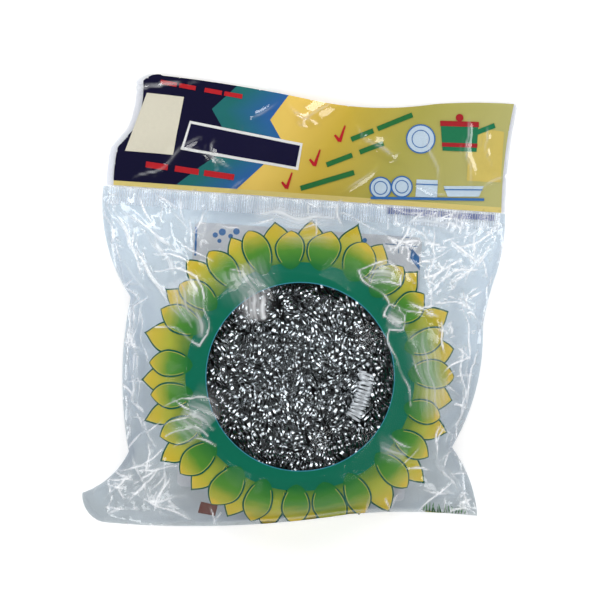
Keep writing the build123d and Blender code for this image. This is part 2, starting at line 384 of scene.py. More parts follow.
@dataclass(frozen=True)
class PetalInk(InkFinish):
    """Petal print: green at the base, ochre at the tip, a dark outline and a pale line."""

    base: tuple = colour(30, 108, 50)
    middle: tuple = colour(80, 136, 46)
    outer: tuple = colour(176, 170, 58)
    line: tuple = colour(4, 84, 66)
    glow: tuple = colour(222, 204, 96)
    line_width: float = 0.16
    glow_width: float = 0.22
    line_starts: float = 0.2
    stops: tuple = (0.2, 0.62, 0.92, 1.0)
    drift_scale: float = 160.0
    drift: float = 0.22

    def make(self) -> bpy.types.Material:
        """Draws the print on the petal's UV: distance in from its edge, share of its length.

        Returns:
            The material.
        """
        graph = Graph(self.name)
        inwards, up = graph.axes("UV")[:2]
        along = graph.math("ADD", up, graph.times(graph.noise(self.drift_scale), self.drift))
        tints = (self.base, self.middle, self.outer, self.tint)
        body = graph.ramp(along, list(zip(self.stops, tints)))
        past_root = graph.math("LESS_THAN", up, self.line_starts)
        inside, lined = (
            graph.math("MAXIMUM", past_root, graph.math("GREATER_THAN", inwards, width))
            for width in (self.glow_width, self.line_width))
        filled = graph.mixed(inside, graph.mixed(0.5, body, self.glow), body)
        return self.laid(graph, graph.mixed(lined, self.line, filled))


@dataclass(frozen=True)
class HeaderInk(InkFinish):
    """Header print: zigzag fields from navy over teal and blue to gold."""

    navy: tuple = colour(12, 9, 48)
    teal: tuple = colour(38, 118, 116)
    blue: tuple = colour(52, 104, 178)
    warm: tuple = ((0.42, colour(250, 214, 106)), (0.55, colour(216, 186, 70)),
                   (0.72, colour(188, 180, 88)), (1.0, colour(202, 198, 130)))
    stripe: tuple = colour(236, 216, 132)
    navy_edge_shares: tuple = ((0.0, 0.16), (0.06, 0.178), (0.216, 0.228), (0.43, 0.304),
                               (0.733, 0.248), (0.953, 0.306), (1.0, 0.32))
    gold_edge_shares: tuple = ((0.0, 0.31), (0.03, 0.319), (0.312, 0.394), (0.512, 0.4225),
                               (0.673, 0.393), (0.906, 0.435), (1.0, 0.455))
    stripe_share: float = 0.045
    blend_start: float = 0.03
    blend_speed: float = 8.0
    warm_lean: float = 0.12

    def edge(self, graph: Graph, up: bpy.types.NodeSocket, shares: tuple) -> object:
        """Draws where a field's zigzag edge lies at each height up the header.

        Args:
            graph: The graph to add to.
            up: The height, as a share.
            shares: The edge's corners: height, then place across.

        Returns:
            The place across.
        """
        node = graph.add("FloatCurve", {"Value": up})
        curve = node.mapping.curves[0]
        for place, value in shares[1:-1]:
            curve.points.new(place, value)
        for point, (place, value) in zip(curve.points, shares):
            point.location = (place, value)
            point.handle_type = "VECTOR"
        node.mapping.update()
        return node.outputs[0]

    def make(self) -> bpy.types.Material:
        """Draws the print on the header's UV: share across, share up.

        Returns:
            The material.
        """
        graph = Graph(self.name)
        across, up = graph.axes("UV")[:2]
        past_navy, past_blue = (graph.minus(across, self.edge(graph, up, shares))
                                for shares in (self.navy_edge_shares, self.gold_edge_shares))
        blend = graph.times(graph.minus(past_navy, self.blend_start), self.blend_speed)
        cool = graph.mixed(graph.add("Clamp", {0: blend}).outputs[0], self.teal, self.blue)
        drift = graph.times(graph.minus(up, 0.5), self.warm_lean)
        warm = graph.ramp(graph.minus(across, drift), list(self.warm))
        shown = graph.mixed(graph.math("GREATER_THAN", past_navy, 0.0), self.navy, cool)
        shown = graph.mixed(graph.math("GREATER_THAN", past_blue, 0.0), shown, warm)
        low = graph.math("LESS_THAN", up, self.stripe_share)
        return self.laid(graph, graph.mixed(low, shown, self.stripe))


@dataclass(frozen=True)
class SteelFinish:
    """Bright stainless steel wire, cold rolled flat."""

    name: str
    tint: tuple = colour(230, 234, 236)
    roughness: float = 0.19
    stain_scale: float = 240.0
    stain: tuple = colour(104, 108, 110)
    grain_scale: float = 5200.0
    grain_depth: float = 0.00003

    def make(self) -> bpy.types.Material:
        """Mixes the wire's material, stained a little from place to place.

        Returns:
            The material.
        """
        graph = Graph(self.name)
        shown = graph.mixed(graph.noise(self.stain_scale), self.stain, self.tint)
        grain = graph.noise(self.grain_scale)
        inputs = {"Base Color": shown, "Metallic": 1.0, "Roughness": self.roughness,
                  "Normal": graph.bump(grain, 0.25, self.grain_depth)}
        return graph.finish(graph.add("BsdfPrincipled", inputs).outputs[0])


@dataclass(frozen=True)
class CardFinish:
    """Uncoated grey-white board with short fibres."""

    name: str = "insert_board"
    tint: tuple = colour(232, 233, 236)
    fibre: tuple = colour(212, 214, 220)
    fibre_scale: float = 1400.0
    fibre_depth: float = 0.00004
    roughness: float = 0.72

    def make(self) -> bpy.types.Material:
        """Mixes the board's material.

        Returns:
            The material.
        """
        graph = Graph(self.name)
        fibres = graph.noise(self.fibre_scale, 4.0)
        inputs = {"Base Color": graph.mixed(fibres, self.fibre, self.tint),
                  "Roughness": self.roughness,
                  "Normal": graph.bump(fibres, 0.4, self.fibre_depth)}
        return graph.finish(graph.add("BsdfPrincipled", inputs).outputs[0])


def closest_on_outline(points: np.ndarray, outline: np.ndarray) -> tuple:
    """Measures points against a closed outline.

    Args:
        points: Places to measure, one row each.
        outline: The outline's points in order.

    Returns:
        Distance to the outline, the nearest place on it, and whether the point is inside.
    """
    best = np.full(len(points), np.inf)
    nearest = np.zeros((len(points), 2))
    inside = np.zeros(len(points), bool)
    for one, other in zip(outline, np.roll(outline, -1, axis=0)):
        along = other - one
        share = np.clip(((points - one) @ along) / max(along @ along, 1e-18), 0, 1)
        foot = one + share[:, None] * along
        far = np.hypot(*(points - foot).T)
        closer = far < best
        best[closer], nearest[closer] = far[closer], foot[closer]
        rises = (one[1] > points[:, 1]) != (other[1] > points[:, 1])
        run = (points[:, 1] - one[1]) / (along[1] if along[1] else 1e-18)
        inside ^= rises & (points[:, 0] < one[0] + run * along[0])
    return best, nearest, inside


def cad_shape(node: str) -> bmesh.types.BMesh:
    """Reads a CAD piece in place, its loose triangles joined up.

    Args:
        node: The piece's node.

    Returns:
        The shape.
    """
    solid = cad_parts[node]
    bm = bmesh.new()
    bm.from_mesh(solid.data)
    bm.transform(solid.matrix_world)
    bmesh.ops.remove_doubles(bm, verts=bm.verts, dist=JOINED)
    bm.normal_update()
    return bm


def plan_outline(node: str) -> np.ndarray:
    """Reads the outline of a flat CAD piece, seen from above.

    Args:
        node: The piece's node.

    Returns:
        The outline's points in order.
    """
    bm = cad_shape(node)
    upper = [face for face in bm.faces if face.normal.z > FACING_DOWN]
    bmesh.ops.delete(bm, geom=upper, context="FACES")
    edge = next(edge for edge in bm.edges if edge.is_boundary)
    start = vert = edge.verts[0]
    outline = []
    while vert is not start or not outline:
        outline.append(tuple(vert.co[:2]))
        vert = edge.other_vert(vert)
        edge = next((e for e in vert.link_edges if e.is_boundary and e is not edge), edge)
    bm.free()
    return np.array(outline)


def upper_skin(node: str) -> bmesh.types.BMesh:
    """Takes the upper side of a CAD film piece, as the single skin that the film is.

    Args:
        node: The piece's node.

    Returns:
        The skin.
    """
    bm = cad_shape(node)
    hidden = [face for face in bm.faces if face.normal.z < FACING_UP]
    bmesh.ops.delete(bm, geom=hidden, context="FACES")
    return bm


def as_object(name: str, bm: bmesh.types.BMesh, smooth: bool = True) -> bpy.types.Object:
    """Makes a mesh object at the origin from a bmesh, and frees the bmesh.

    Args:
        name: The piece's name.
        bm: The shape, in place.
        smooth: Whether its faces are shaded smooth.

    Returns:
        The object.
    """
    mesh = bpy.data.meshes.new(name)
    bm.to_mesh(mesh)
    bm.free()
    mesh.shade_smooth() if smooth else mesh.shade_flat()
    piece = bpy.data.objects.new(name, mesh)
    bpy.context.scene.collection.objects.link(piece)
    return piece


def places(mesh: bpy.types.Mesh) -> np.ndarray:
    """Reads a mesh's vertices.

    Args:
        mesh: The mesh.

    Returns:
        Their places, one row each.
    """
    flat = np.empty(len(mesh.vertices) * 3)
    mesh.vertices.foreach_get("co", flat)
    return flat.reshape(-1, 3)


def put_places(mesh: bpy.types.Mesh, rows: np.ndarray) -> None:
    """Moves a mesh's vertices to the rows given."""
    mesh.vertices.foreach_set("co", rows.astype(np.float32).ravel())
    mesh.update()


def coat(piece: bpy.types.Object, material: bpy.types.Material, slot: Slot,
         *stands_for: str) -> None:
    """Gives a piece its material and hides the CAD nodes that it stands for.

    Args:
        piece: The piece.
        material: Its material.
        slot: Not used.
        *stands_for: The CAD nodes that it replaces.
    """
    piece.data.materials.clear()
    piece.data.materials.append(material)
    if stands_for:
        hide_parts(*stands_for)


def dress(piece: bpy.types.Object, material: bpy.types.Material, body: Body, slot: Slot,
          *stands_for: str) -> None:
    """Coats a piece that rides on one body.

    Args:
        piece: The piece.
        material: Its material.
        body: The body that it rides on.
        slot: The record's slot for it.
        *stands_for: The CAD nodes that it replaces.
    """
    coat(piece, material, slot, *stands_for)
    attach(piece, body.value)
    log.info("%s: %d faces on %s", piece.name, len(piece.data.polygons), body.value)


def cut_sheet(outline: np.ndarray, spacing: float) -> bmesh.types.BMesh:
    """Cuts a flat grid to an outline, its rim pulled onto the outline.

    Args:
        outline: The sheet's outline.
        spacing: The grid's spacing.

    Returns:
        The flat sheet.
    """
    low, high = outline.min(axis=0) - spacing, outline.max(axis=0) + spacing
    columns, rows = (np.ceil((high - low) / spacing)).astype(int)
    bm = bmesh.new()
    grid = bmesh.ops.create_grid(bm, x_segments=int(columns), y_segments=int(rows), size=0.5)
    span, middle = high - low, (low + high) / 2
    bmesh.ops.scale(bm, vec=(span[0], span[1], 1.0), verts=grid["verts"])
    bmesh.ops.translate(bm, vec=(middle[0], middle[1], 0.0), verts=grid["verts"])
    flat = np.array([vert.co[:2] for vert in bm.verts])
    far, nearest, inside = closest_on_outline(flat, outline)
    dropped = []
    for i, vert in enumerate(list(bm.verts)):
        if far[i] < (SNAP_INSIDE if inside[i] else SNAP_OUTSIDE) * spacing:
            vert.co.x, vert.co.y = nearest[i]
        elif not inside[i]:
            dropped.append(vert)
    bmesh.ops.delete(bm, geom=dropped, context="VERTS")
    return bm


def film_area(piece: bpy.types.Object) -> float:
    """Adds up a film's surface.

    Args:
        piece: The film.

    Returns:
        Its area in square metres.
    """
    bm = bmesh.new()
    bm.from_mesh(piece.data)
    area = sum(face.calc_area() for face in bm.faces)
    bm.free()
    return area


def outline_area(outline: np.ndarray) -> float:
    """Works out the area of a cut from its outline, in square metres.

    Args:
        outline: The outline's points in order, in plan.

    Returns:
        The area.
    """
    x, y = outline.T
    return abs(float(x @ np.roll(y, -1) - y @ np.roll(x, -1))) / 2


def flat_size(piece: bpy.types.Object) -> tuple[float, float]:
    """Enlarges a film's box in plan until its area holds the film.

    Args:
        piece: The film.

    Returns:
        Width and height of the cut, in metres.
    """
    width, height = np.ptp(places(piece.data), axis=0)[:2]
    share = max(math.sqrt(CUT_MARGIN * film_area(piece) / (width * height)), 1.0)
    return (width * share, height * share)


def mark_creases(piece: bpy.types.Object, drawn: np.ndarray, slack: np.ndarray,
                 tight: np.ndarray) -> None:
    """Writes how a film is creased and drawn tight at each vertex, 0 to 1, as attributes.

    Args:
        piece: The film.
        drawn: White along the single creases, partly painted highlight.
        slack: How much of the film's own sharp bends turns white, partly as stress whitening and
            partly as painted highlight.
        tight: How tight and so how calm the film lies.
    """
    bm = bmesh.new()
    bm.from_mesh(piece.data)
    layer, calm = bm.verts.layers.float.new(CREASE_HIGHLIGHT), bm.verts.layers.float.new(TIGHT)
    for vert in bm.verts:
        vert[calm] = tight[vert.index]
        # Sharp bends whiten, partly as stress whitening and partly as painted highlight.
        bend = max(edge.calc_face_angle(0.0) for edge in vert.link_edges)
        sharp = min(max((bend - SHARP_BEND) / (FULL_BEND - SHARP_BEND), 0.0), 1.0)
        vert[layer] = min(drawn[vert.index] + sharp * slack[vert.index], 1.0)
    bm.to_mesh(piece.data)
    bm.free()


def caster(piece: bpy.types.Object) -> BVHTree:
    """Makes the tree that rays are cast on.

    Args:
        piece: The sheet to hit.

    Returns:
        The tree.
    """
    mesh = piece.data
    verts = [tuple(row) for row in places(mesh)]
    return BVHTree.FromPolygons(verts, [tuple(face.vertices) for face in mesh.polygons])


def laid_on(tree: BVHTree, x: float, y: float, below: float) -> Vector:
    """Finds the point on a sheet over a place in plan.

    Args:
        tree: The sheet's tree.
        x: The place's X.
        y: The place's Y.
        below: How far under the sheet the point lies, square to it.

    Returns:
        The point.
    """
    hit, normal = tree.ray_cast(Vector((x, y, CAST_FROM)), -UP)[:2]
    if hit is None:
        hit, normal = tree.find_nearest(Vector((x, y, 0.0)))[:2]
    return hit - normal * (below if normal.z > 0 else -below)


@dataclass
class PlainPrint:
    """Plain ink shapes in plan, in millimetres, that are then laid on a sheet."""

    grain: float = 0.9
    ring_steps: int = 36

    def __post_init__(self) -> None:
        """Starts with no shapes."""
        self.bm = bmesh.new()

    def patch(self, *corners: tuple[float, float]) -> None:
        """Adds a patch between four corners.

        Args:
            *corners: The corners, in order round it.
        """
        one, two, three, four = (np.array(corner) * MM for corner in corners)
        wide = max(int(np.linalg.norm(two - one) / (self.grain * MM)), 1)
        tall = max(int(np.linalg.norm(four - one) / (self.grain * MM)), 1)
        grid = bmesh.ops.create_grid(self.bm, x_segments=wide, y_segments=tall, size=0.5)
        for vert in grid["verts"]:
            u, v = vert.co.x + 0.5, vert.co.y + 0.5
            place = (one * (1 - u) + two * u) * (1 - v) + (four * (1 - u) + three * u) * v
            vert.co = Vector((*place, 0.0))

    def stroke(self, start: tuple[float, float], end: tuple[float, float], thick: float,
               thick_end: float | None = None) -> None:
        """Adds a straight stroke.

        Args:
            start: Where it starts.
            end: Where it ends.
            thick: Its thickness at the start.
            thick_end: Its thickness at the end, the same unless given.
        """
        one, other = np.array(start), np.array(end)
        along = (other - one) / np.linalg.norm(other - one)
        square = np.array([-along[1], along[0]])
        near, far = square * thick / 2, square * (thick_end or thick) / 2
        self.patch(tuple(one - near), tuple(other - far), tuple(other + far), tuple(one + near))

    def dashes(self, start: tuple[float, float], end: tuple[float, float], thick: float,
               shares: tuple[tuple[float, float], ...]) -> None:
        """Adds a row of dashes on a line.

        Args:
            start: Where the line starts.
            end: Where it ends.
            thick: The dashes' thickness.
            shares: Where each dash starts and ends, as shares of the line.
        """
        one, along = np.array(start), np.array(end) - np.array(start)
        for low, high in shares:
            self.stroke(tuple(one + along * low), tuple(one + along * high), thick)

    def ring(self, centre: tuple[float, float], outer: float, inner: float = 0.0) -> None:
        """Adds a ring, or a disc where the inner radius is 0.

        Args:
            centre: Its centre.
            outer: Its outer radius.
            inner: Its inner radius.
        """
        rows = max(int((outer - inner) / self.grain), 1)
        grid = bmesh.ops.create_grid(self.bm, x_segments=self.ring_steps, y_segments=rows,
                                     size=0.5)
        for vert in grid["verts"]:
            turn = (vert.co.x + 0.5) * 2 * math.pi
            radius = inner + (vert.co.y + 0.5) * (outer - inner)
            vert.co = Vector(((centre[0] + radius * math.cos(turn)) * MM,
                              (centre[1] + radius * math.sin(turn)) * MM, 0.0))
        bmesh.ops.remove_doubles(self.bm, verts=grid["verts"], dist=1e-7)

    def laid(self, name: str, tree: BVHTree, below: float) -> bpy.types.Object:
        """Lays the shapes on a sheet and returns the piece.

        Args:
            name: The piece's name.
            tree: The sheet's tree.
            below: How far inside the sheet the ink lies.

        Returns:
            The piece.
        """
        for vert in self.bm.verts:
            vert.co = laid_on(tree, vert.co.x, vert.co.y, below)
        bmesh.ops.recalc_face_normals(self.bm, faces=self.bm.faces)
        down = [face for face in self.bm.faces if face.normal.z < 0]
        bmesh.ops.reverse_faces(self.bm, faces=down)
        return as_object(name, self.bm)


@dataclass
class Press:
    """Prints plain shapes on one sheet, in one ink after another."""

    tree: BVHTree
    body: Body
    slot: Slot
    shade: float = 0.82

    def ink(self, name: str, tint: tuple, shapes: PlainPrint, below: float) -> None:
        """Prints shapes in one ink.

        Args:
            name: The printed piece's name.
            tint: The ink's colour.
            shapes: What it prints.
            below: How far inside the sheet the ink lies.
        """
        piece = shapes.laid(name, self.tree, below)
        material = InkFinish(name + "_ink", tint, self.shade).make()
        dress(piece, material, self.body, self.slot)


@dataclass
class Crumple:
    """Flat facets and sharp ridges of crumpled film, on a coarse jittered grid."""

    cell: float
    height: float
    seed: int
    reach: float = 0.2
    jitter: float = 0.42

    def heights(self, flat: np.ndarray) -> np.ndarray:
        """Reads the crumple's height, 0 to its full height, at each place.

        Args:
            flat: Places in plan, one row each.

        Returns:
            Heights.
        """
        chance = np.random.default_rng(self.seed)
        bm = bmesh.new()
        cells = int(self.reach / self.cell)
        bmesh.ops.create_grid(bm, x_segments=cells, y_segments=cells, size=self.reach / 2)
        for vert in bm.verts:
            shift = chance.uniform(-self.jitter, self.jitter, 2) * self.cell
            vert.co += Vector((shift[0], shift[1], chance.uniform(-0.5, 0.5) * self.height))
        bmesh.ops.triangulate(bm, faces=bm.faces[:], quad_method="SHORT_EDGE")
        tree = BVHTree.FromBMesh(bm)
        bm.free()
        down = [tree.ray_cast(Vector((x, y, CAST_FROM)), -UP)[0] for x, y in flat]
        return np.array([hit.z if hit else 0.0 for hit in down])


def wobbled(flat: np.ndarray) -> np.ndarray:
    """Shifts places a little, so that what is drawn straight over them comes out bent.

    Args:
        flat: Places in plan.

    Returns:
        The places shifted.
    """
    x, y = flat[:, 0], flat[:, 1]
    return flat + WOBBLE * np.column_stack([
        np.sin(y / 0.0041 + 1.7 * np.sin(x / 0.0071)) + 0.5 * np.sin(y / 0.0017 + 0.8),
        np.sin(x / 0.0047 + 1.4 * np.sin(y / 0.0063)) + 0.5 * np.sin(x / 0.0019 + 2.1)])


@dataclass
class Fold:
    """A crease in the film from place to place in plan, or a painted glare patch where it is wide
    and flat.

    Places and sizes are in millimetres. White under 0 means as white as it is high. A crease's
    white is partly stress whitening and partly painted highlight.
    """

    start: tuple[float, float]
    end: tuple[float, float]
    width: float
    height: float
    white: float = -1.0

    def measured(self, flat: np.ndarray) -> tuple[np.ndarray, np.ndarray, np.ndarray]:
        """Measures places against the crease.

        Args:
            flat: Places in plan.

        Returns:
            Millimetres off it, its fullness, and millimetres to its side, signed.
        """
        one, other = np.array(self.start) * MM, np.array(self.end) * MM
        along, bent = other - one, wobbled(flat)
        share = np.clip(((bent - one) @ along) / (along @ along), 0, 1)
        across = np.hypot(*(bent - one - share[:, None] * along).T)
        side = (bent - one) @ np.array([-along[1], along[0]]) / math.hypot(*along)
        return across / MM, np.sqrt(np.sin(math.pi * share)), side / MM

    def heights(self, flat: np.ndarray) -> np.ndarray:
        """Reads how far the crease lifts the film.

        Args:
            flat: Places in plan.

        Returns:
            Heights at those places.
        """
        across, full, _ = self.measured(flat)
        return self.height * MM * np.clip(1 - across / self.width, 0, None) * full

    def whitening_and_highlight(self, flat: np.ndarray) -> np.ndarray:
        """Reads how white the crease's own line is, partly as stress whitening and partly as
        painted highlight.

        Args:
            flat: Places in plan.

        Returns:
            Whiteness at those places, with painted glare in stripes where the crease is a wide
            glare patch.
        """
        across, full, side = self.measured(flat)
        patchy = 0.62 + 0.38 * np.sin(flat[:, 0] / 0.0021 + 2 * np.sin(flat[:, 1] / 0.0027))
        line = np.exp(-(across / max(0.27, 0.17 * self.width)) ** 2)
        if self.white < 0:
            return line * full * patchy * min(self.height, 1.0)
        if self.width < WIDE_GLARE:
            return line * patchy * self.white
        # Painted glare, in stripes across a wide patch.
        glare_streaks = 0.5 + 0.3 * np.sin(1.9 * side + 2 * patchy) + 0.35 * np.sin(4.3 * side + patchy)
        return line * full * np.clip(0.34 + 0.6 * glare_streaks, 0, 1) * self.white


def traced(*corners: tuple[float, float], white: float = 0.95) -> tuple[Fold, ...]:
    """Draws one white crease after another through those places, in millimetres, the white partly
    painted highlight.
    """
    return tuple(Fold(one, other, 1.0, 0.9, white) for one, other in zip(corners, corners[1:]))


def creases(*rows: tuple[float, ...]) -> tuple[Fold, ...]:
    """Makes creases from rows of start, end, width, height and, for some, white."""
    return tuple(Fold(row[:2], row[2:4], *row[4:]) for row in rows)


@dataclass
class PadForm:
    """The wound pad's outside, as the film feels it."""

    centre: tuple[float, float] = (-0.0035, 0.0)
    middle: float = 0.01545
    rim_centre: float = 0.0325
    rim_radius: float = 0.0115
    crown: float = 0.0031

    def top(self, radius: np.ndarray) -> np.ndarray:
        """Reads the height of the pad's upper side.

        Args:
            radius: Distances from the pad's axis.

        Returns:
            Heights.
        """
        across = np.clip(radius - self.rim_centre, 0, self.rim_radius)
        crown = self.crown * (1 - np.clip(radius / self.rim_centre, 0, 1) ** 2)
        return self.middle + np.sqrt(self.rim_radius ** 2 - across ** 2) + crown


@dataclass
class FilmBag:
    """The bag's films: the lifted front, the flat back, the welds and the mouth seal."""

    pad: PadForm = field(default_factory=PadForm)
    spacing: float = 0.00045
    edge_height: float = 0.0008
    steepest: float = 3.8
    fold_share: float = 0.6
    loose_folds: int = 105
    slack_from: float = 0.052
    slack_run: float = 0.006
    least_loose: float = 0.03
    loose_rings: tuple = ((0.031, 0.006, 0.15), (0.048, 0.01, 0.46))
    loose_corner: tuple[float, float] = (0.055, 0.032)
    loose_corner_share: float = 0.45
    loose_corner_radius: float = 0.03
    edge_calm: float = 0.003
    chance_turn: float = 0.75
    chance_halves: tuple[float, float] = (1.8, 7.0)
    chance_widths: tuple[float, float] = (1.0, 2.4)
    chance_heights: tuple[float, float] = (0.4, 1.7)
    smoothings: int = 7
    seed: int = 44
    weld: float = 0.002
    crown: tuple = ((0.0, 0.0364), (0.020, 0.0363), (0.0355, 0.0338), (0.0425, 0.0262))
    waist_radius: float = 0.0455
    waist_share: float = 0.35
    waist_height: float = 0.0156
    settle: float = 0.0032
    settle_run: float = 0.016
    settle_edge: float = 0.045
    settle_fade: float = 0.009
    prop_half: float = 0.006
    prop_clear: float = 0.005
    finish: FilmFinish = FilmFinish()
    crumples: tuple = (Crumple(0.0105, 0.0052, 3), Crumple(0.0052, 0.0030, 8),
                       Crumple(0.0024, 0.0010, 21))
    # Creases lift the film and whiten it, partly as stress whitening and partly as painted
    # highlight; rows with no height are painted glare patches.
    folds: tuple = (
        *creases((-66, 58, -46, 30, 1.6, 1.3), (-64, 59, -56, 42, 1.2, 1.0),
                 (-62, 58, -42, 41, 2.2, 1.5), (-66, 56, -62, 38, 1.2, 0.9),
                 (-56, 44, -40, 18, 1.5, 1.1), (-60, 40, -52, 26, 1.4, 0.9),
                 (-44, 46, -30, 38, 1.8, 1.0), (-57, 28, -58, 12, 1.5, 1.5),
                 (-59, 12, -56, -14, 1.3, 1.4), (-55, -13, -52, -19, 1.0, 1.0),
                 (-52, -19, -46, -14, 1.0, 0.9), (-58, 20, -55, 6, 0.9, 0.8),
                 (-58, -26, -46, -48, 1.6, 1.5), (-68, -38, -58, -38, 1.3, 1.1),
                 (-66, -44, -56, -30, 1.4, 1.1), (-57, -39, -42, -46, 1.3, 1.0)),
        *traced((-48, 36.4), (-41, 36), (-37.2, 34.7), (-34.7, 32.9), (-32.9, 29.3), (-31.7, 25),
                (-31, 19), (-31.7, 14.1), (-34.1, 10.6), (-37.2, 12.3), (-41, 14.4), (-49, 17)),
        *creases((-40, 33, -36, 18, 30.0, 0.0, 0.62), (-37, 33.4, -34, 27, 9.0, 0.0, 0.8),
                 (-34.4, 22, -33.4, 13, 8.0, 0.0, 0.75), (-42, 26, -37, 16, 1.0, 0.6),
                 (-19.5, 38, -15, 27, 36.0, 0.0, 0.6), (-17.4, 31, -14.6, 18, 20.0, 0.0, 1.0),
                 (-14, 32, -12.2, 19.6, 5.0, 0.0, 1.2), (-17.6, 29, -16.6, 20, 3.4, 0.0, 0.9)),
        *traced((-23, 36.6), (-17, 35.2), (-12.6, 30.6), (-10.4, 26), white=0.5),
        *traced((-46, -9.6), (-40, -7.2), (-34, -7.4), (-28.6, -9.4)),
        *traced((-43, -7.6), (-37, -11.4), (-33, -17), (-29, -18.4)),
        *traced((-46, -16), (-38, -13.4), (-33.6, -11.8), (-28.4, -14.4), white=0.8),
        *traced((-44, -20.4), (-36, -17.2), (-30.4, -20.6), white=0.8),
        *traced((-42, -25), (-35, -21), (-27.6, -22.6), white=0.7),
        *creases((-40, -11, -31, -18, 36.0, 0.0, 0.75)),
        *traced((19.9, 35.3), (23.6, 36.6), (30.8, 38.4), (35.1, 35.3), (33.3, 30.5),
                (27.8, 30.5), (19.9, 35.3), (25, 29), (29.6, 23.2), (27.8, 19.7), (31, 18.6),
                (35.1, 19.4)),
        *traced((29.6, 23.2), (32.6, 23.4), (35.1, 21.4), (35.1, 16.5), (30.2, 16), (31, 9),
                (33.3, 2.6), (36, -4), (38.1, -9.6), white=0.85),
        *creases((24, 34.6, 33, 33.4, 20.0, 0.0, 0.85), (29, 19.8, 34.6, 18.6, 13.0, 0.0, 0.9),
                 (26, -24, 35, -26, 14.0, 0.0, 0.6), (30, -20, 37, -24, 1.0, 0.8),
                 (35, 26, 46, 20, 1.1, 0.9), (-16, 54.4, 15, 53.4, 17.0, 0.0, 0.7),
                 (41, 16, 46, -14, 26.0, 0.0, 0.5), (-8, 47, 12, 46.5, 12.0, 0.0, 0.22),
                 (32, 52.4, 62, 49.8, 14.0, 0.0, 0.5), (-57.6, 26, -56.4, -10, 1.4, 1.5),
                 (-54, 22, -51.5, 4, 1.2, 1.3), (-60, 14, -53, 8, 1.1, 1.2),
                 (-58, -8, -52, -13, 1.2, 1.4), (-53, -14, -49, -24, 1.3, 1.3),
                 (37, 8, 44, -12, 1.0, 0.7), (40, -24, 33, -30, 1.0, 0.6),
                 (32, 24, 46, 20, 1.1, 0.7), (68, 50, 52, 42, 1.5, 1.2),
                 (52, 42, 40, 38, 1.3, 0.9), (66, 47, 50, 26, 1.6, 1.3),
                 (60, 50, 56, 30, 1.3, 1.0), (45, 50, 44, 22, 1.2, 0.9),
                 (54, 30, 64, 12, 1.5, 1.2), (44, 26, 62, 22, 1.3, 1.0),
                 (48, 12, 62, 4, 1.2, 0.9), (56, 24, 58, -4, 1.3, 1.0),
                 (60, 2, 50, -24, 1.2, 0.9), (44, -28, 56, -44, 1.5, 1.2),
                 (40, -38, 54, -42, 1.2, 0.8), (48, -14, 46, -30, 1.2, 1.0),
                 (24, 50, 36, 44, 1.4, 0.9), (-4, 50, 12, 52, 1.4, 0.9),
                 (-14, 32, -12, 18, 1.6, 0.8), (30, -46, 46, -47, 1.2, 0.8),
                 (-57, 27, -55.5, 2, 1.0, 1.3), (-54, 24, -57, 4, 0.9, 1.0),
                 (-56, 4, -54, -12, 1.0, 1.2), (-60, 2, -52, -4, 0.9, 0.9),
                 (-60, 20, -52, 27, 1.1, 1.1), (-61, 30, -54, 24, 1.0, 1.0),
                 (-63, 47, -59, 33, 1.2, 1.2), (-58, 52, -53, 33, 1.3, 1.2),
                 (-50, 47, -41, 33, 2.6, 1.4), (-52, 38, -44, 27, 2.4, 1.3),
                 (-47, -30, -58, -44, 1.2, 1.3), (-50, -42, -36, -49, 1.2, 1.2),
                 (-44, -34, -50, -46, 1.0, 1.1), (62, 36, 50, 34, 1.4, 1.2),
                 (58, 44, 66, 30, 1.3, 1.2), (50, 46, 60, 38, 1.2, 1.2),
                 (54, 12, 57, -12, 1.0, 1.2), (52, -10, 60, -14, 0.9, 1.0),
                 (55, -16, 48, -34, 1.1, 1.2), (50, -32, 58, -46, 1.2, 1.2),
                 (40, -46, 52, -36, 1.1, 1.1), (-20, 50, -6, 53, 1.1, 1.0),
                 (14, 55, 26, 49, 1.2, 1.1), (34, 52, 44, 44, 1.2, 1.1)),
    )

    def foot_reach(self, outline: np.ndarray, turns: np.ndarray) -> np.ndarray:
        """Measures how far the outline lies from the pad's axis, less the weld.

        Args:
            outline: The bag's outline in plan.
            turns: Directions from the axis.

        Returns:
            Distances in those directions.
        """
        centre = np.array(self.pad.centre)
        rays = np.stack([np.cos(turns), np.sin(turns)], axis=1)
        reach = np.zeros(len(turns))
        for one, other in zip(outline - centre, np.roll(outline, -1, axis=0) - centre):
            side = other - one
            across = rays[:, 0] * side[1] - rays[:, 1] * side[0]
            across[np.abs(across) < 1e-12] = 1e-12
            far = (one[0] * side[1] - one[1] * side[0]) / across
            share = (one[0] * rays[:, 1] - one[1] * rays[:, 0]) / across
            met = (share >= 0) & (share <= 1) & (far > 0)
            reach = np.where(met, np.maximum(reach, far), reach)
        return reach - self.weld

    def base_heights(self, flat: np.ndarray, outline: np.ndarray) -> np.ndarray:
        """Reads the height of the film drawn tight from the bag's edge over the pad.

        Args:
            flat: Places in plan, one row each.
            outline: The bag's outline in plan.

        Returns:
            Heights.
        """
        away = flat - np.array(self.pad.centre)
        radius, turn = np.hypot(*away.T), np.arctan2(away[:, 1], away[:, 0])
        turns = np.linspace(-math.pi, math.pi, 361)
        reach = self.foot_reach(outline, turns)
        wide = np.concatenate([reach[-9:-1], reach, reach[1:9]])
        reach = np.convolve(wide, np.ones(17) / 17, mode="valid")
        foot = np.interp(turn, turns, reach)
        waist = self.waist_radius + self.waist_share * np.clip(foot - self.waist_radius, 0, None)
        rings, heights = zip(*self.crown)
        height = np.interp(radius, rings, heights)
        last_radius, last_height = self.crown[-1]
        share = np.clip((radius - last_radius) / (waist - last_radius), 0, 1)
        height = np.where(radius > last_radius,
                          last_height + share * (self.waist_height - last_height), height)
        share = np.clip((radius - waist) / np.maximum(foot - waist, 1e-4), 0, 1)
        skirt = self.waist_height + share * (self.edge_height - self.waist_height)
        height = np.where(radius > waist, skirt, height)
        height = height - self.sunk(flat, radius)
        far = closest_on_outline(flat, outline)[0]
        return np.clip(np.minimum(height, self.edge_height + self.steepest * far),
                       self.edge_height, None)

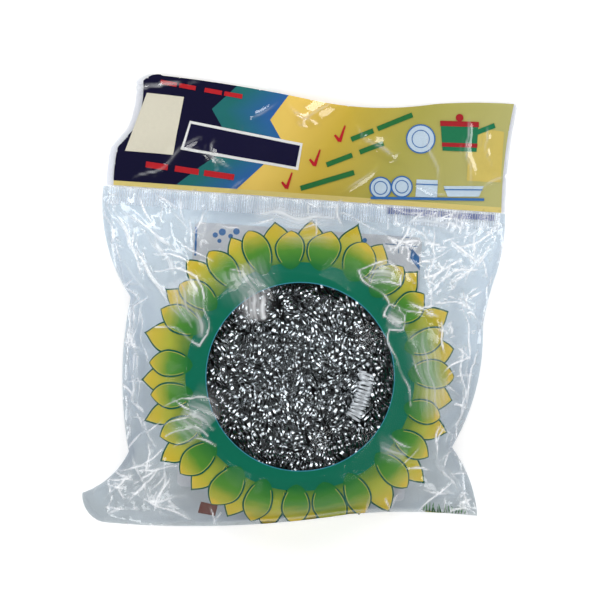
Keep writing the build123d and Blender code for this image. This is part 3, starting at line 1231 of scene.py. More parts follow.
    def sunk(self, flat: np.ndarray, radius: np.ndarray) -> np.ndarray:
        """Reads how far the film sinks where the loose strand end doesn't prop it up.

        Args:
            flat: Places in plan.
            radius: Their distances from the pad's axis.

        Returns:
            Depths, nothing at the loose end and outside the crown.
        """
        low, high = (np.array(corner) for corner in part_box("loose_strand_end"))
        ahead = np.array([math.cos(END_HEADING), math.sin(END_HEADING)])
        bent = flat - (low[:2] + high[:2]) / 2
        along = np.clip(bent @ ahead, -self.prop_half, self.prop_half)
        away = np.hypot(*(bent - along[:, None] * ahead).T) - self.prop_clear
        share = np.clip(away / self.settle_run, 0, 1)
        fade = np.clip((self.settle_edge - radius) / self.settle_fade, 0, 1)
        return self.settle * share * share * (3 - 2 * share) * fade

    def looseness(self, flat: np.ndarray) -> np.ndarray:
        """Reads how crumpled the film is: least over the window, most in the slack corners.

        Args:
            flat: Places in plan.

        Returns:
            Shares of the crumples' full height.
        """
        away = flat - np.array(self.pad.centre)
        radius, slack = np.hypot(*away.T), np.full(len(flat), self.least_loose)
        for start, run, more in self.loose_rings:
            slack = slack + more * np.clip((radius - start) / run, 0, 1)
        corner = np.hypot(*(flat - np.array(self.loose_corner)).T)
        near = np.clip(1.3 - corner / self.loose_corner_radius, 0, 1)
        return slack + self.loose_corner_share * near

    def lifted_heights(self, flat: np.ndarray, outline: np.ndarray) -> np.ndarray:
        """Adds up what folds and crumples add to the tight film.

        Args:
            flat: Places in plan.
            outline: The bag's outline in plan.

        Returns:
            Heights.
        """
        far = closest_on_outline(flat, outline)[0]
        near_edge = np.clip(far / self.edge_calm, 0.12, 1)
        total = np.zeros(len(flat))
        for crumple in self.crumples:
            total += crumple.heights(flat) * self.looseness(flat)
        for fold in self.folds + self.chance_folds(outline):
            total += fold.heights(flat) * self.fold_share
        return total * near_edge

    def whitening_and_highlight(self, flat: np.ndarray, outline: np.ndarray) -> np.ndarray:
        """Reads how white the single creases are: partly stress whitening, partly painted
        highlight and painted glare.

        Args:
            flat: Places in plan.
            outline: The bag's outline in plan.

        Returns:
            Whiteness at those places.
        """
        total = np.zeros(len(flat))
        for fold in self.folds + self.chance_folds(outline):
            total = np.maximum(total, fold.whitening_and_highlight(flat))
        return total

    def chance_folds(self, outline: np.ndarray) -> tuple:
        """Draws short creases over the slack film, most of them pulled towards the pad.

        Args:
            outline: The bag's outline in plan.

        Returns:
            The creases.
        """
        chance, centre = np.random.default_rng(self.seed), np.array(self.pad.centre)
        low, high = outline.min(axis=0), outline.max(axis=0)
        folds = []
        while len(folds) < self.loose_folds:
            place = chance.uniform(low, high)
            away = place - centre
            heading = math.atan2(away[1], away[0]) + chance.normal(0, self.chance_turn)
            ahead = np.array([math.cos(heading), math.sin(heading)])
            half = chance.uniform(*self.chance_halves) * ahead
            inside = closest_on_outline(place[None], outline)[2][0]
            if np.hypot(*away) < self.slack_from or not inside:
                continue
            folds.append(Fold(tuple(place / MM - half), tuple(place / MM + half),
                              chance.uniform(*self.chance_widths),
                              chance.uniform(*self.chance_heights)))
        return tuple(folds)

    def front(self) -> bpy.types.Object:
        """Builds and dresses the front film.

        Returns:
            The film.
        """
        outline = plan_outline("back_film")
        bm = cut_sheet(outline, self.spacing)
        bmesh.ops.recalc_face_normals(bm, faces=bm.faces)
        piece = as_object("front_film_sheet", bm)
        rows = places(piece.data)
        flat = rows[:, :2].copy()
        rows[:, 2] = self.base_heights(flat, outline)
        put_places(piece.data, rows)
        bm = bmesh.new()
        bm.from_mesh(piece.data)
        inner = [vert for vert in bm.verts if not vert.is_boundary]
        for _ in range(self.smoothings):
            bmesh.ops.smooth_vert(bm, verts=inner, factor=0.5, use_axis_x=False,
                                  use_axis_y=False, use_axis_z=True)
        bm.to_mesh(piece.data)
        bm.free()
        rows = places(piece.data)
        rows[:, 2] += self.lifted_heights(rows[:, :2].copy(), outline)
        rows[:, 2] = np.maximum(rows[:, 2], self.edge_height)
        put_places(piece.data, rows)
        flat = rows[:, :2].copy()
        away = np.hypot(*(flat - np.array(self.pad.centre)).T)
        tight = np.clip((self.slack_from - away) / self.slack_run, 0, 1)
        # Crease whiteness and sharp slack bends, whitened partly as painted highlight.
        drawn = self.whitening_and_highlight(flat, outline)
        mark_creases(piece, drawn * (1 - 0.2 * tight), 0.15 + self.looseness(flat),
                     tight * np.clip(1 - 1.6 * drawn, 0, 1))
        dress(piece, self.finish.make(), Body.BAG, Slot.CLEAR_FILM, "front_film")
        return piece

    def build(self) -> bpy.types.Object:
        """Builds the front film and dresses the CAD films behind it and at its edges.

        Returns:
            The front film.
        """
        front = self.front()
        back = BackFilmFinish("back_film_sheet", crinkle_scale=120.0, crinkle_depth=0.0002,
                              tint=(0.8, 0.86, 0.9, 1.0), mirror=0.03).make()
        weld = FilmFinish("welded_film", haze_share=0.03, gloss_roughness=0.16,
                          tint=(0.99, 0.992, 0.998, 1.0), mirror=0.03).make()
        crimp = CrimpFinish("crimped_film", haze_share=0.12, gloss_roughness=0.2,
                            tint=(0.97, 0.978, 0.99, 1.0), crinkle_depth=0.00012,
                            mirror=0.09).make()
        for node, material, body, slot in (
                ("back_film", back, Body.BAG, Slot.CLEAR_FILM),
                ("side_weld_left", weld, Body.BAG, Slot.WELDED_FILM),
                ("side_weld_right", weld, Body.BAG, Slot.WELDED_FILM),
                ("mouth_seal", crimp, Body.BAG, Slot.CRIMPED_FILM),
                ("header_weld_left", weld, Body.HEADER, Slot.WELDED_FILM),
                ("header_weld_right", weld, Body.HEADER, Slot.WELDED_FILM)):
            skin = as_object(node + "_skin", upper_skin(node), smooth=False)
            dress(skin, material, body, slot, node)
            if node == "back_film":
                flat_size(skin)
                outline_area(plan_outline(node))
        return front


@dataclass(frozen=True)
class PetalRow:
    """One row of petals: offset as a share of the pitch, half width, roundness at both ends."""

    name: str
    ink: PetalInk
    offset: float
    root: float
    tip: float
    width: float
    points: tuple[float, float]
    layers: int
    bend: float = 0.0018


@dataclass
class WindowPrint:
    """The ring printed round the clear window: a band and two rows of petals."""

    centre: tuple[float, float] = (0.0001, -0.0002)
    window_radius: float = 0.0317
    band_radius: float = 0.0386
    line_inwards: float = 0.0002
    line_outwards: float = 0.0001
    count: int = 23
    belly: float = 1.2
    jitters: tuple = (0.14, 0.035, 0.17, 0.24)
    below: float = 0.0002
    layer: float = 0.00009
    seed: int = 5
    band_steps: tuple[int, int] = (8, 240)
    band_ink: InkFinish = InkFinish("band_ink", colour(10, 108, 82), 0.88)
    line_ink: InkFinish = InkFinish("window_line_ink", colour(60, 140, 160))
    back: PetalRow = PetalRow(
        "petals_back", PetalInk("petal_ink_back", colour(214, 184, 56),
                                outer=colour(206, 180, 54), middle=colour(168, 170, 60)),
        0.5, 0.0358, 0.0543, 0.0049, (0.26, 1.2), 3)
    front: PetalRow = PetalRow(
        "petals_front", PetalInk("petal_ink_front", colour(210, 180, 52)),
        0.0, 0.0362, 0.0513, 0.0052, (0.5, 0.8), 1)

    def petal(self, bm: bmesh.types.BMesh, uv: bmesh.types.BMLayerItem, turn: float,
              shape: PetalRow) -> None:
        """Adds one petal, flat in plan, with its UV.

        Args:
            bm: The shape to add to.
            uv: The UV layer.
            turn: The petal's direction from the window's centre.
            shape: Its row, with this petal's own tip, width, roundness and bend.
        """
        grid = bmesh.ops.create_grid(bm, x_segments=12, y_segments=24, size=0.5)["verts"]
        marks = {}
        for vert in grid:
            across, along = vert.co.x * 2, vert.co.y + 0.5
            fullness = max(4 * along ** self.belly * (1 - along ** self.belly), 0.0)
            half = shape.width * fullness ** shape.points[0 if along < 0.5 else 1]
            marks[vert] = ((1 - abs(across)) * half / (4 * MM), along)
            radius = shape.root + along * (shape.tip - shape.root)
            side = across * half + shape.bend * along ** 3
            vert.co.x = self.centre[0] + radius * math.cos(turn) - side * math.sin(turn)
            vert.co.y = self.centre[1] + radius * math.sin(turn) + side * math.cos(turn)
        for face in {face for vert in grid for face in vert.link_faces}:
            for loop in face.loops:
                loop[uv].uv = marks[loop.vert]

    def row(self, tree: BVHTree, outline: np.ndarray, row: PetalRow) -> bpy.types.Object:
        """Builds one row of petals under the film.

        Args:
            tree: The film to lie under.
            outline: The bag's outline, where the print ends.
            row: The row.

        Returns:
            The piece.
        """
        chance = np.random.default_rng(self.seed + int(row.offset * 10))
        bm = bmesh.new()
        uv = bm.loops.layers.uv.new("petal")
        for i in range(self.count):
            drawn = chance.uniform(-1, 1, 5)
            turned, longer, wider, rounder = np.array(self.jitters) * drawn[:4]
            turn = 2 * math.pi * (i + row.offset + turned) / self.count
            self.petal(bm, uv, turn, replace(
                row, tip=row.tip * (1 + longer), width=row.width * (1 + wider),
                points=(row.points[0], row.points[1] * (1 + rounder)),
                bend=row.bend * drawn[4]))
        flat = np.array([vert.co[:2] for vert in bm.verts])
        _, nearest, inside = closest_on_outline(flat, outline)
        for i, vert in enumerate(bm.verts):
            x, y = flat[i] if inside[i] else nearest[i]
            vert.co = laid_on(tree, x, y, self.below + row.layers * self.layer)
        bmesh.ops.dissolve_degenerate(bm, dist=2e-5, edges=bm.edges[:])
        return as_object(row.name, bm)

    def band(self, name: str, tree: BVHTree, inner: float, outer: float,
             layers: int) -> bpy.types.Object:
        """Builds a printed ring under the film.

        Args:
            name: The piece's name.
            tree: The film to lie under.
            inner: Its inner radius.
            outer: Its outer radius.
            layers: How many layers of ink deep it lies.

        Returns:
            The ring.
        """
        bm = bmesh.new()
        steps, turns = self.band_steps
        line = [bm.verts.new((inner + (outer - inner) * i / steps, 0, 0))
                for i in range(steps + 1)]
        edges = [bm.edges.new(pair) for pair in zip(line, line[1:])]
        bmesh.ops.spin(bm, geom=line + edges, cent=(0, 0, 0), axis=UP, angle=2 * math.pi,
                       steps=turns, use_merge=True)
        bmesh.ops.remove_doubles(bm, verts=bm.verts, dist=JOINED)
        for vert in bm.verts:
            vert.co = laid_on(tree, vert.co.x + self.centre[0], vert.co.y + self.centre[1],
                              self.below + layers * self.layer)
        return as_object(name, bm)

    def build(self, film: bpy.types.Object) -> None:
        """Builds the ring under the film.

        Args:
            film: The front film.
        """
        tree, outline = caster(film), plan_outline("back_film")
        radius = self.window_radius
        line = (radius - self.line_inwards, radius + self.line_outwards)
        printed = ((self.row(tree, outline, self.back), self.back.ink),
                   (self.band("window_band", tree, radius, self.band_radius, 2), self.band_ink),
                   (self.row(tree, outline, self.front), self.front.ink),
                   (self.band("window_line", tree, *line, 1), self.line_ink))
        for piece, ink in printed:
            dress(piece, ink.make(), Body.BAG, Slot.CLEAR_FILM)
        flat_size(film)


def wander(seed: int, count: int, every: int) -> np.ndarray:
    """Draws a smooth random line between -1 and 1.

    Args:
        seed: Its seed.
        count: How many samples it has.
        every: How many samples lie between its new values.

    Returns:
        The samples.
    """
    chance = np.random.default_rng(seed)
    knots = chance.uniform(-1, 1, count // every + 4)
    place = np.arange(count) / every
    low = place.astype(int)
    share = place - low
    share = share * share * (3 - 2 * share)
    return knots[low] * (1 - share) + knots[low + 1] * share


@dataclass
class CurledWire:
    """Flat wire curled round a strand's centre line, as the scourer's strand is."""

    curl_radius: float = 0.0026
    squash: float = 0.5
    roll: float = 0.62
    pitch: float = 0.00126
    width: float = 0.0005
    thickness: float = 0.00007
    steps: int = 14
    turns: int = 40
    sample: float = 0.0004
    unruly: float = 0.7

    def unit(self) -> bpy.types.Mesh:
        """Builds a straight coil along Z.

        Returns:
            The coil's mesh.
        """
        bm = bmesh.new()
        half, deep = self.width / 2, self.thickness / 2
        corners = [bm.verts.new((self.curl_radius + side * deep, 0, end * half))
                   for side, end in ((-1, -1), (1, -1), (1, 1), (-1, 1))]
        ring = [bm.edges.new(pair) for pair in zip(corners, corners[1:] + corners[:1])]
        steps = self.steps * self.turns
        bmesh.ops.spin(bm, geom=corners + ring, cent=(0, 0, 0), axis=UP,
                       dvec=(0, 0, self.pitch / self.steps), angle=2 * math.pi * self.turns,
                       steps=steps, use_merge=False)
        bmesh.ops.recalc_face_normals(bm, faces=bm.faces)
        for edge in bm.edges:
            edge.smooth = edge.calc_length() < 1.2 * self.width
        mesh = bpy.data.meshes.new("coil_unit")
        bm.to_mesh(mesh)
        bm.free()
        return mesh

    def along(self, name: str, path: np.ndarray, outward: np.ndarray,
              seed: int) -> bpy.types.Object:
        """Builds the curled wire along a centre line.

        Args:
            name: The piece's name.
            path: The line's points, one sample apart.
            outward: Directions out of the pad at those points.
            seed: Seed of the wire's unevenness.

        Returns:
            The strand.
        """
        unit = self.unit()
        unit_length = self.turns * self.pitch
        length = (len(path) - 1) * self.sample
        bm = bmesh.new()
        for i in range(max(int(length / unit_length), 1)):
            bm.from_mesh(unit)
            fresh = bm.verts[-len(unit.vertices):]
            bmesh.ops.translate(bm, vec=(0, 0, i * unit_length), verts=fresh)
        bpy.data.meshes.remove(unit)
        piece = as_object(name, bm)
        rows = places(piece.data)
        count = len(path)
        stations = np.arange(count) * self.sample
        tangent = np.gradient(path, axis=0)
        tangent /= np.linalg.norm(tangent, axis=1)[:, None]
        sideways = np.cross(tangent, outward)
        sideways /= np.linalg.norm(sideways, axis=1)[:, None]
        outward = np.cross(sideways, tangent)

        def uneven(shift: int, every: int, size: float) -> np.ndarray:
            """Draws an unevenness of that size along the wire."""
            return self.unruly * size * wander(seed + shift, count, every)

        swell = 1 + uneven(0, 9, 0.1) + uneven(1, 3, 0.14)
        slide = uneven(2, 8, 0.0007) + uneven(3, 3, 0.00045)
        lean, slant, drift = uneven(4, 6, 0.7), uneven(6, 5, 0.75), uneven(5, 4, 0.0008)
        roll = self.roll * wander(seed + 7, count, 13)

        def at(values: np.ndarray, place: np.ndarray) -> np.ndarray:
            """Reads values along the line at each place."""
            if values.ndim == 1:
                return np.interp(place, stations, values)
            return np.stack([np.interp(place, stations, column) for column in values.T], 1)

        place = rows[:, 2]
        up = rows[:, 0] * self.squash * at(swell, place)
        along = rows[:, 1] * at(swell, place) + at(drift, place)
        turned = at(roll, place)
        out = up * np.cos(turned) - along * np.sin(turned)
        side = up * np.sin(turned) + along * np.cos(turned)
        place = place + at(slide, place) + at(lean, place) * up + at(slant, place) * along
        put_places(piece.data, at(path, place) + at(outward, place) * out[:, None]
                   + at(sideways, place) * side[:, None])
        return piece


@dataclass
class Scourer:
    """The wound steel pad: tangled strands over a heart painted dark as shade, and the loose
    strand end.
    """

    pad: PadForm = field(default_factory=PadForm)
    wire: CurledWire = field(default_factory=CurledWire)
    rim_wire: CurledWire = field(default_factory=lambda: CurledWire(squash=0.95, roll=0.0))
    strand: float = 0.0025
    lift: float = 0.0021
    tangle_reach: float = 0.0395
    waviness: float = 0.085
    waves: tuple = (0.030, 0.021, 0.015, 0.011)
    wave_fade: float = 0.008
    depth_wave: float = 0.0009
    heart_depth: float = 2.1
    rim_loops: int = 6
    rim_leans: tuple[float, float] = (math.radians(18), math.radians(150))
    heart_squareness: float = 2.6
    layers: tuple = (("tangle_upper", 31, -12.0, 0.0050, 0.0),
                     ("tangle_middle", 24, 38.0, 0.0046, 0.0026),
                     ("tangle_lower", 17, 100.0, 0.0048, 0.0044))
    end_wire: CurledWire = field(default_factory=lambda: CurledWire(
        squash=0.66, roll=0.25, pitch=0.00128, width=0.00062, turns=13, unruly=0.32))
    end_bend: float = 0.0008
    end_seed: int = 77
    ribbon: SteelFinish = SteelFinish("bright_wire")
    end: SteelFinish = SteelFinish("loose_wire", colour(240, 242, 244), 0.55,
                                   stain=colour(196, 198, 200))
    shaded: SteelFinish = SteelFinish("shaded_wire", colour(96, 98, 100),
                                      stain=colour(36, 38, 40))
    # Painted shade: the heart's near black stands for the shade deep among the strands.
    heart: SteelFinish = SteelFinish("shade_dark_core", colour(34, 35, 36), 0.5,
                                     stain=colour(4, 4, 5))

    def rows(self, seed: int, heading: float, spacing: float) -> np.ndarray:
        """Lays the strand to and fro over the pad in wavy rows, as it was wound.

        Args:
            seed: Seed of the rows' waves.
            heading: The rows' direction, in degrees from +X.
            spacing: Distance from row to row.

        Returns:
            Points in plan about the pad's axis, one sample apart.
        """
        chance, step = np.random.default_rng(seed), self.wire.sample
        points = []
        for i in range(int(2 * self.tangle_reach / spacing)):
            down = -self.tangle_reach + (i + 0.5) * spacing
            half = math.sqrt(self.tangle_reach ** 2 - down ** 2)
            along = np.arange(-half, half, step) * (1 if i % 2 else -1)
            points.append(np.column_stack([along, np.full(len(along), down)]))
        plan = np.concatenate(points)
        shift = np.zeros_like(plan)
        for wave in self.waves:
            turn, phase = chance.uniform(0, math.pi), chance.uniform(0, 2 * math.pi)
            ahead = np.array([math.cos(turn), math.sin(turn)])
            swing = np.sin(plan @ ahead * 2 * math.pi / wave + phase)
            shift += np.outer(swing, np.array([-ahead[1], ahead[0]])) * wave * self.waviness
        fade = np.clip((self.tangle_reach - np.hypot(*plan.T)) / self.wave_fade, 0, 1)
        plan = plan + shift * fade[:, None]
        cosine, sine = math.cos(math.radians(heading)), math.sin(math.radians(heading))
        plan = plan @ np.array([[cosine, sine], [-sine, cosine]])
        run = np.concatenate([[0], np.cumsum(np.hypot(*np.diff(plan, axis=0).T))])
        even = np.arange(0, run[-1], step)
        return np.stack([np.interp(even, run, column) for column in plan.T], 1)

    def on_pad(self, plan: np.ndarray, sunk: np.ndarray) -> tuple[np.ndarray, np.ndarray]:
        """Lays a line on the pad's crown.

        Args:
            plan: Points about the pad's axis.
            sunk: How far under the crown each point lies.

        Returns:
            The points in place and the directions out of the pad.
        """
        radius = np.hypot(*plan.T)
        height = self.pad.top(radius) + self.lift - self.strand - sunk
        path = np.column_stack([plan + np.array(self.pad.centre), height])
        steep = np.clip((radius - self.pad.rim_centre) / self.pad.rim_radius, 0, 0.9)
        away = plan / np.maximum(radius, 1e-6)[:, None]
        outward = np.column_stack([away * steep[:, None], np.sqrt(1 - steep ** 2)])
        return path, outward

    def tangle(self, name: str, seed: int, heading: float, spacing: float,
               deep: float) -> bpy.types.Object:
        """Builds a layer of strand in rows.

        Args:
            name: The layer's name.
            seed: Seed of its unevenness.
            heading: The rows' direction, in degrees.
            spacing: Distance from row to row.
            deep: How far it lies under the crown.

        Returns:
            The layer.
        """
        plan = self.rows(seed, heading, spacing)
        wave = wander(seed + 50, len(plan), 30)
        path, outward = self.on_pad(plan, deep + self.depth_wave * (wave + 1))
        return self.wire.along(name, path, outward, seed)

    def rim(self, name: str, seed: int) -> bpy.types.Object:
        """Builds the loops that run round the pad's rim, from its shoulder to underneath.

        Args:
            name: The piece's name.
            seed: Seed of its unevenness.

        Returns:
            The loops.
        """
        pad, step = self.pad, self.wire.sample
        first, last = self.rim_leans
        around = 2 * math.pi * (pad.rim_centre + pad.rim_radius - self.strand)
        count = int(self.rim_loops * around / step)
        share = np.linspace(0, 1, count)
        lean = first + (last - first) * share + 0.1 * wander(seed, count, 60)
        ring = pad.rim_radius - self.strand
        radius = pad.rim_centre + ring * np.sin(lean) + 0.0006 * wander(seed + 1, count, 40)
        turn = 2 * math.pi * self.rim_loops * share
        across = np.column_stack([np.cos(turn), np.sin(turn)])
        path = np.column_stack([across * radius[:, None] + np.array(pad.centre),
                                pad.middle + ring * np.cos(lean)])
        steps = np.concatenate([[0], np.linalg.norm(np.diff(path, axis=0), axis=1)])
        even = np.arange(0, steps.sum(), step)
        path = np.stack([np.interp(even, np.cumsum(steps), column) for column in path.T], 1)
        outward = path - np.array([*pad.centre, pad.middle])
        outward[:, :2] -= outward[:, :2] * (pad.rim_centre / np.hypot(*outward[:, :2].T))[:, None]
        outward /= np.linalg.norm(outward, axis=1)[:, None]
        return self.rim_wire.along(name, path, outward, seed)

    def inner(self) -> bpy.types.Object:
        """Builds the heart of the pad, under its outer strands, coloured near black as painted
        shade.

        Returns:
            The heart.
        """
        bm = bmesh.new()
        bmesh.ops.create_icosphere(bm, subdivisions=5, radius=1.0)
        pad, deep = self.pad, self.heart_depth * self.strand
        reach = pad.rim_centre + pad.rim_radius - deep
        half = pad.rim_radius + pad.crown - deep
        power = self.heart_squareness
        for vert in bm.verts:
            radius = math.hypot(vert.co.x, vert.co.y)
            squared = math.copysign((1 - radius ** power) ** (1 / power) if radius < 1 else 0,
                                    vert.co.z)
            vert.co = Vector((vert.co.x * reach + pad.centre[0],
                              vert.co.y * reach + pad.centre[1],
                              squared * half + pad.middle))
        return as_object("scourer_heart", bm)

    def loose_end(self) -> bpy.types.Object:
        """Builds the loose strand end that lies curled on the pad.

        Returns:
            The end.
        """
        low, high = (np.array(corner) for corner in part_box("loose_strand_end"))
        middle, wire = (low + high) / 2, self.end_wire
        ahead = np.array([math.cos(END_HEADING), math.sin(END_HEADING), 0.0])
        length = wire.turns * wire.pitch
        place = np.arange(0, length + 0.003, wire.sample)
        path = middle + ahead * (place - length / 2)[:, None]
        bend = self.end_bend * np.sin(place / length * math.pi)
        path += np.array([-ahead[1], ahead[0], 0.0]) * bend[:, None]
        outward = np.tile([0.0, 0.0, 1.0], (len(path), 1))
        return wire.along("loose_end_curls", path, outward, self.end_seed)

    def build(self) -> None:
        """Builds and dresses the scourer."""
        bright, dark = self.ribbon.make(), self.heart.make()
        dress(self.inner(), dark, Body.BAG, Slot.TANGLE, "scourer_core")
        upper, middle, lower = (self.tangle(*layer) for layer in self.layers)
        dress(upper, bright, Body.BAG, Slot.RIBBON, "scourer_strand")
        dress(middle, bright, Body.BAG, Slot.RIBBON)
        dress(lower, self.shaded.make(), Body.BAG, Slot.RIBBON)
        dress(self.rim("rim_loops", 13), bright, Body.BAG, Slot.RIBBON)
        dress(self.loose_end(), self.end.make(), Body.BAG, Slot.RIBBON, "loose_strand_end")


@dataclass
class InsertCard:
    """The board behind the scourer and its plain line print."""

    ink_lift: float = 0.00006

    def build(self) -> None:
        """Dresses the board and prints on it."""
        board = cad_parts["insert_card"]
        board.data.materials.clear()
        board.data.materials.append(CardFinish().make())
        shape = cad_shape("insert_card")
        press = Press(BVHTree.FromBMesh(shape), Body.BAG, Slot.CARD)
        shape.free()
        blue, grey = PlainPrint(), PlainPrint()
        blue.stroke((-35.2, 51.2), (-35.6, 40.6), 0.7)
        blue.patch((37.4, 39.8), (40.6, 35.6), (41.2, 39.4), (38.0, 43.0))
        for x, y, size in ((-28.8, 47.6, 0.9), (-26.4, 48.6, 1.2), (-23.6, 47.2, 0.8),
                           (-21.6, 48.8, 1.1), (22.0, 45.8, 0.8), (-27.4, 45.6, 0.7)):
            blue.ring((x, y), size)
        for start, end in (((24, 48.2), (38, 46.6)), ((29, 44.6), (40.2, 43.6)),
                           ((33, 46.4), (33.6, 41.4)), ((36, 44), (39.6, 40.6))):
            grey.stroke(start, end, 0.35)
        press.ink("card_blue", colour(70, 128, 190), blue, -self.ink_lift)
        press.ink("card_lines", colour(110, 140, 176), grey, -self.ink_lift)


@dataclass
class FootPrint:
    """Plain print along the foot of the bag: blades of grass, a line and two brown spots."""

    blades: int = 15
    seed: int = 9
    ink_depth: float = 0.0007

    def build(self, film: bpy.types.Object) -> None:
        """Prints under the front film.

        Args:
            film: The front film.
        """
        press = Press(caster(film), Body.BAG, Slot.CLEAR_FILM, 0.7)
        chance = np.random.default_rng(self.seed)
        grass, line, brown = PlainPrint(), PlainPrint(), PlainPrint()
        for i in range(self.blades):
            x = 42.0 + i * 0.98
            lean, tall = chance.uniform(-0.9, 0.9), chance.uniform(1.3, 2.6)
            base = -46.0 - 0.1 * i
            grass.stroke((x, base - 0.4), (x + lean, base + tall), 0.6, 0.16)
        line.stroke((42.6, -46.4), (57.6, -48.2), 0.55)
        brown.patch((-34.8, -47.2), (-28.6, -48.4), (-28.0, -44.4), (-33.6, -43.2))
        brown.patch((21.0, -41.4), (29.6, -40.8), (29.8, -38.4), (21.4, -38.6))
        press.ink("grass_blades", colour(70, 132, 66), grass, self.ink_depth)
        press.ink("grass_line", colour(206, 196, 84), line, self.ink_depth)
        press.ink("brown_spots", colour(112, 66, 56), brown, self.ink_depth)


@dataclass
class Header:
    """The two printed leaves above the mouth seal, hinged at the fold."""

    tilt: float = math.radians(-4.0)
    fold_height: float = 0.06
    fold_reach: tuple[float, float] = (-0.0004, 0.003)
    fold_level: float = 0.001
    height: float = 0.0385
    left: float = -0.0662
    right: float = 0.0718
    spacing: float = 0.0007
    base: float = 0.0008
    rise: float = 0.0019
    margin_left: float = 0.0024
    margin_right: float = 0.0014
    ink_depth: float = 0.00036
    ink_layer: float = 0.00009
    crumples: tuple = (Crumple(0.013, 0.0013, 31), Crumple(0.006, 0.0006, 32))
    folds: tuple = (
        *creases((-47, 72, -34, 80.5, 2.8, 0.9), (-56, 66, -45, 73, 1.6, 0.5),
                 (-29, 69, -29, 80, 2.2, 0.75), (-34, 76, -24, 70, 1.8, 0.6),
                 (-16, 86, -7, 92, 1.8, 0.5), (-26, 62, -18, 67, 1.6, 0.5),
                 (1, 87, 12, 94.5, 4.2, 1.35), (-5, 93, 7, 85, 2.4, 0.75),
                 (22, 80, 32, 73.3, 3.8, 1.2), (20, 84, 23, 78, 1.8, 0.4),
                 (42, 84, 48, 63, 1.6, 0.5), (57, 89, 58, 62, 1.8, 0.6),
                 (38, 67, 50, 60, 1.8, 0.6), (64, 86, 64, 70, 1.6, 0.5),
                 (14, 62, 26, 70, 1.8, 0.55), (60, 62, 70, 69, 1.8, 0.6)),
    )

    def local(self, flat: np.ndarray) -> np.ndarray:
        """Turns places in plan into places along the fold and up from it.

        Args:
            flat: Places in plan.

        Returns:
            The same places, along and up.
        """
        down = flat - np.array([0.0, self.fold_height])
        cosine, sine = math.cos(self.tilt), math.sin(self.tilt)
        return np.column_stack([down[:, 0] * cosine + down[:, 1] * sine,
                                -down[:, 0] * sine + down[:, 1] * cosine])

    def shares(self, flat: np.ndarray) -> np.ndarray:
        """Turns places in plan into shares across the header and up it, one row each."""
        return (self.local(flat) - (self.left, 0.0)).T / np.array(
            [[self.right - self.left], [self.height]])

    def plan(self, across: float, up: float) -> tuple[float, float]:
        """Turns a place on the header, in metres along the fold and up, into plan."""
        cosine, sine = math.cos(self.tilt), math.sin(self.tilt)
        return (across * cosine - up * sine, self.fold_height + across * sine + up * cosine)

    def front_heights(self, flat: np.ndarray) -> np.ndarray:
        """Reads the front leaf's height, arched, wavy and lightly creased.

        Args:
            flat: Places in plan.

        Returns:
            Heights.
        """
        across, up = self.shares(flat)
        arch = np.clip(4 * across * (1 - across), 0, 1) ** 0.5 * np.clip(up * 2.2, 0, 1)
        wave = 0.5 + 0.28 * np.sin(7.5 * across + 1.2 + 2.1 * up) + 0.2 * np.sin(15 * across)
        height = self.base + self.rise * arch * (0.55 + wave)
        for fold in self.folds:
            height += fold.heights(flat)
        for crumple in self.crumples:
            height += crumple.heights(flat) * np.clip(up * 3, 0, 1)
        return height

    def leaf(self, name: str, outline: np.ndarray, mirrored: bool) -> bpy.types.Object:
        """Builds a flat leaf with its UV: share across from the left, share up.

        Args:
            name: The piece's name.
            outline: The leaf's outline.
            mirrored: Whether its print runs the other way, as seen from the front.

        Returns:
            The leaf.
        """
        bm = cut_sheet(outline, self.spacing)
        bmesh.ops.recalc_face_normals(bm, faces=bm.faces)
        flat = np.array([vert.co[:2] for vert in bm.verts])
        across, up = self.shares(flat)
        uv = bm.loops.layers.uv.new("print")
        bm.verts.index_update()
        for face in bm.faces:
            for loop in face.loops:
                i = loop.vert.index
                loop[uv].uv = (1 - across[i] if mirrored else across[i], up[i])
        return as_object(name, bm)

    def printed_outline(self, outline: np.ndarray) -> np.ndarray:
        """Draws the print's outline, in from the leaf's left and right edges.

        Args:
            outline: The leaf's outline.

        Returns:
            The print's outline.
        """
        local = self.local(outline)
        middle = (self.left + self.right) / 2
        shift = np.where(local[:, 0] < middle, self.margin_left, -self.margin_right)
        edge = np.abs(local[:, 0] - middle) > 0.4 * (self.right - self.left)
        return outline + np.column_stack([shift * edge, np.zeros(len(outline))])

    def hinged(self, piece: bpy.types.Object, material: bpy.types.Material, slot: Slot,
               *stands_for: str) -> None:
        """Coats a leaf that lies across the fold and bakes its place into its mesh, tied to
        neither body.

        Args:
            piece: The leaf.
            material: Its material.
            slot: The record's slot for it.
            *stands_for: The CAD nodes that it replaces.
        """
        coat(piece, material, slot, *stands_for)
        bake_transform(piece)
        log.info("%s: %d faces across the fold", piece.name, len(piece.data.polygons))

    def strip(self) -> None:
        """Prints the strip of the back leaf that shows under the front leaf's print."""
        shapes = PlainPrint()
        shapes.patch((29.6, 54.8), (66.0, 52.4), (66.0, 54.4), (29.6, 57.0))
        for vert in shapes.bm.verts:
            vert.co.z = STRIP_HEIGHT
        piece = as_object("back_leaf_strip", shapes.bm)
        dress(piece, InkFinish("strip_ink", colour(52, 84, 160)).make(), Body.BAG,
              Slot.HEADER_BACK)

    def marks(self, film: bpy.types.Object) -> None:
        """Prints the plain label, panel, dashes, ticks and dishes under the front film.

        Args:
            film: The front leaf's film.
        """
        press = Press(caster(film), Body.HEADER, Slot.HEADER_FRONT, 0.9)

        def ink(name: str, tint: tuple, layer: int, shapes: PlainPrint) -> None:
            """Prints shapes in one ink, higher layers nearer to the film."""
            press.ink(name, tint, shapes, self.ink_depth - layer * self.ink_layer)

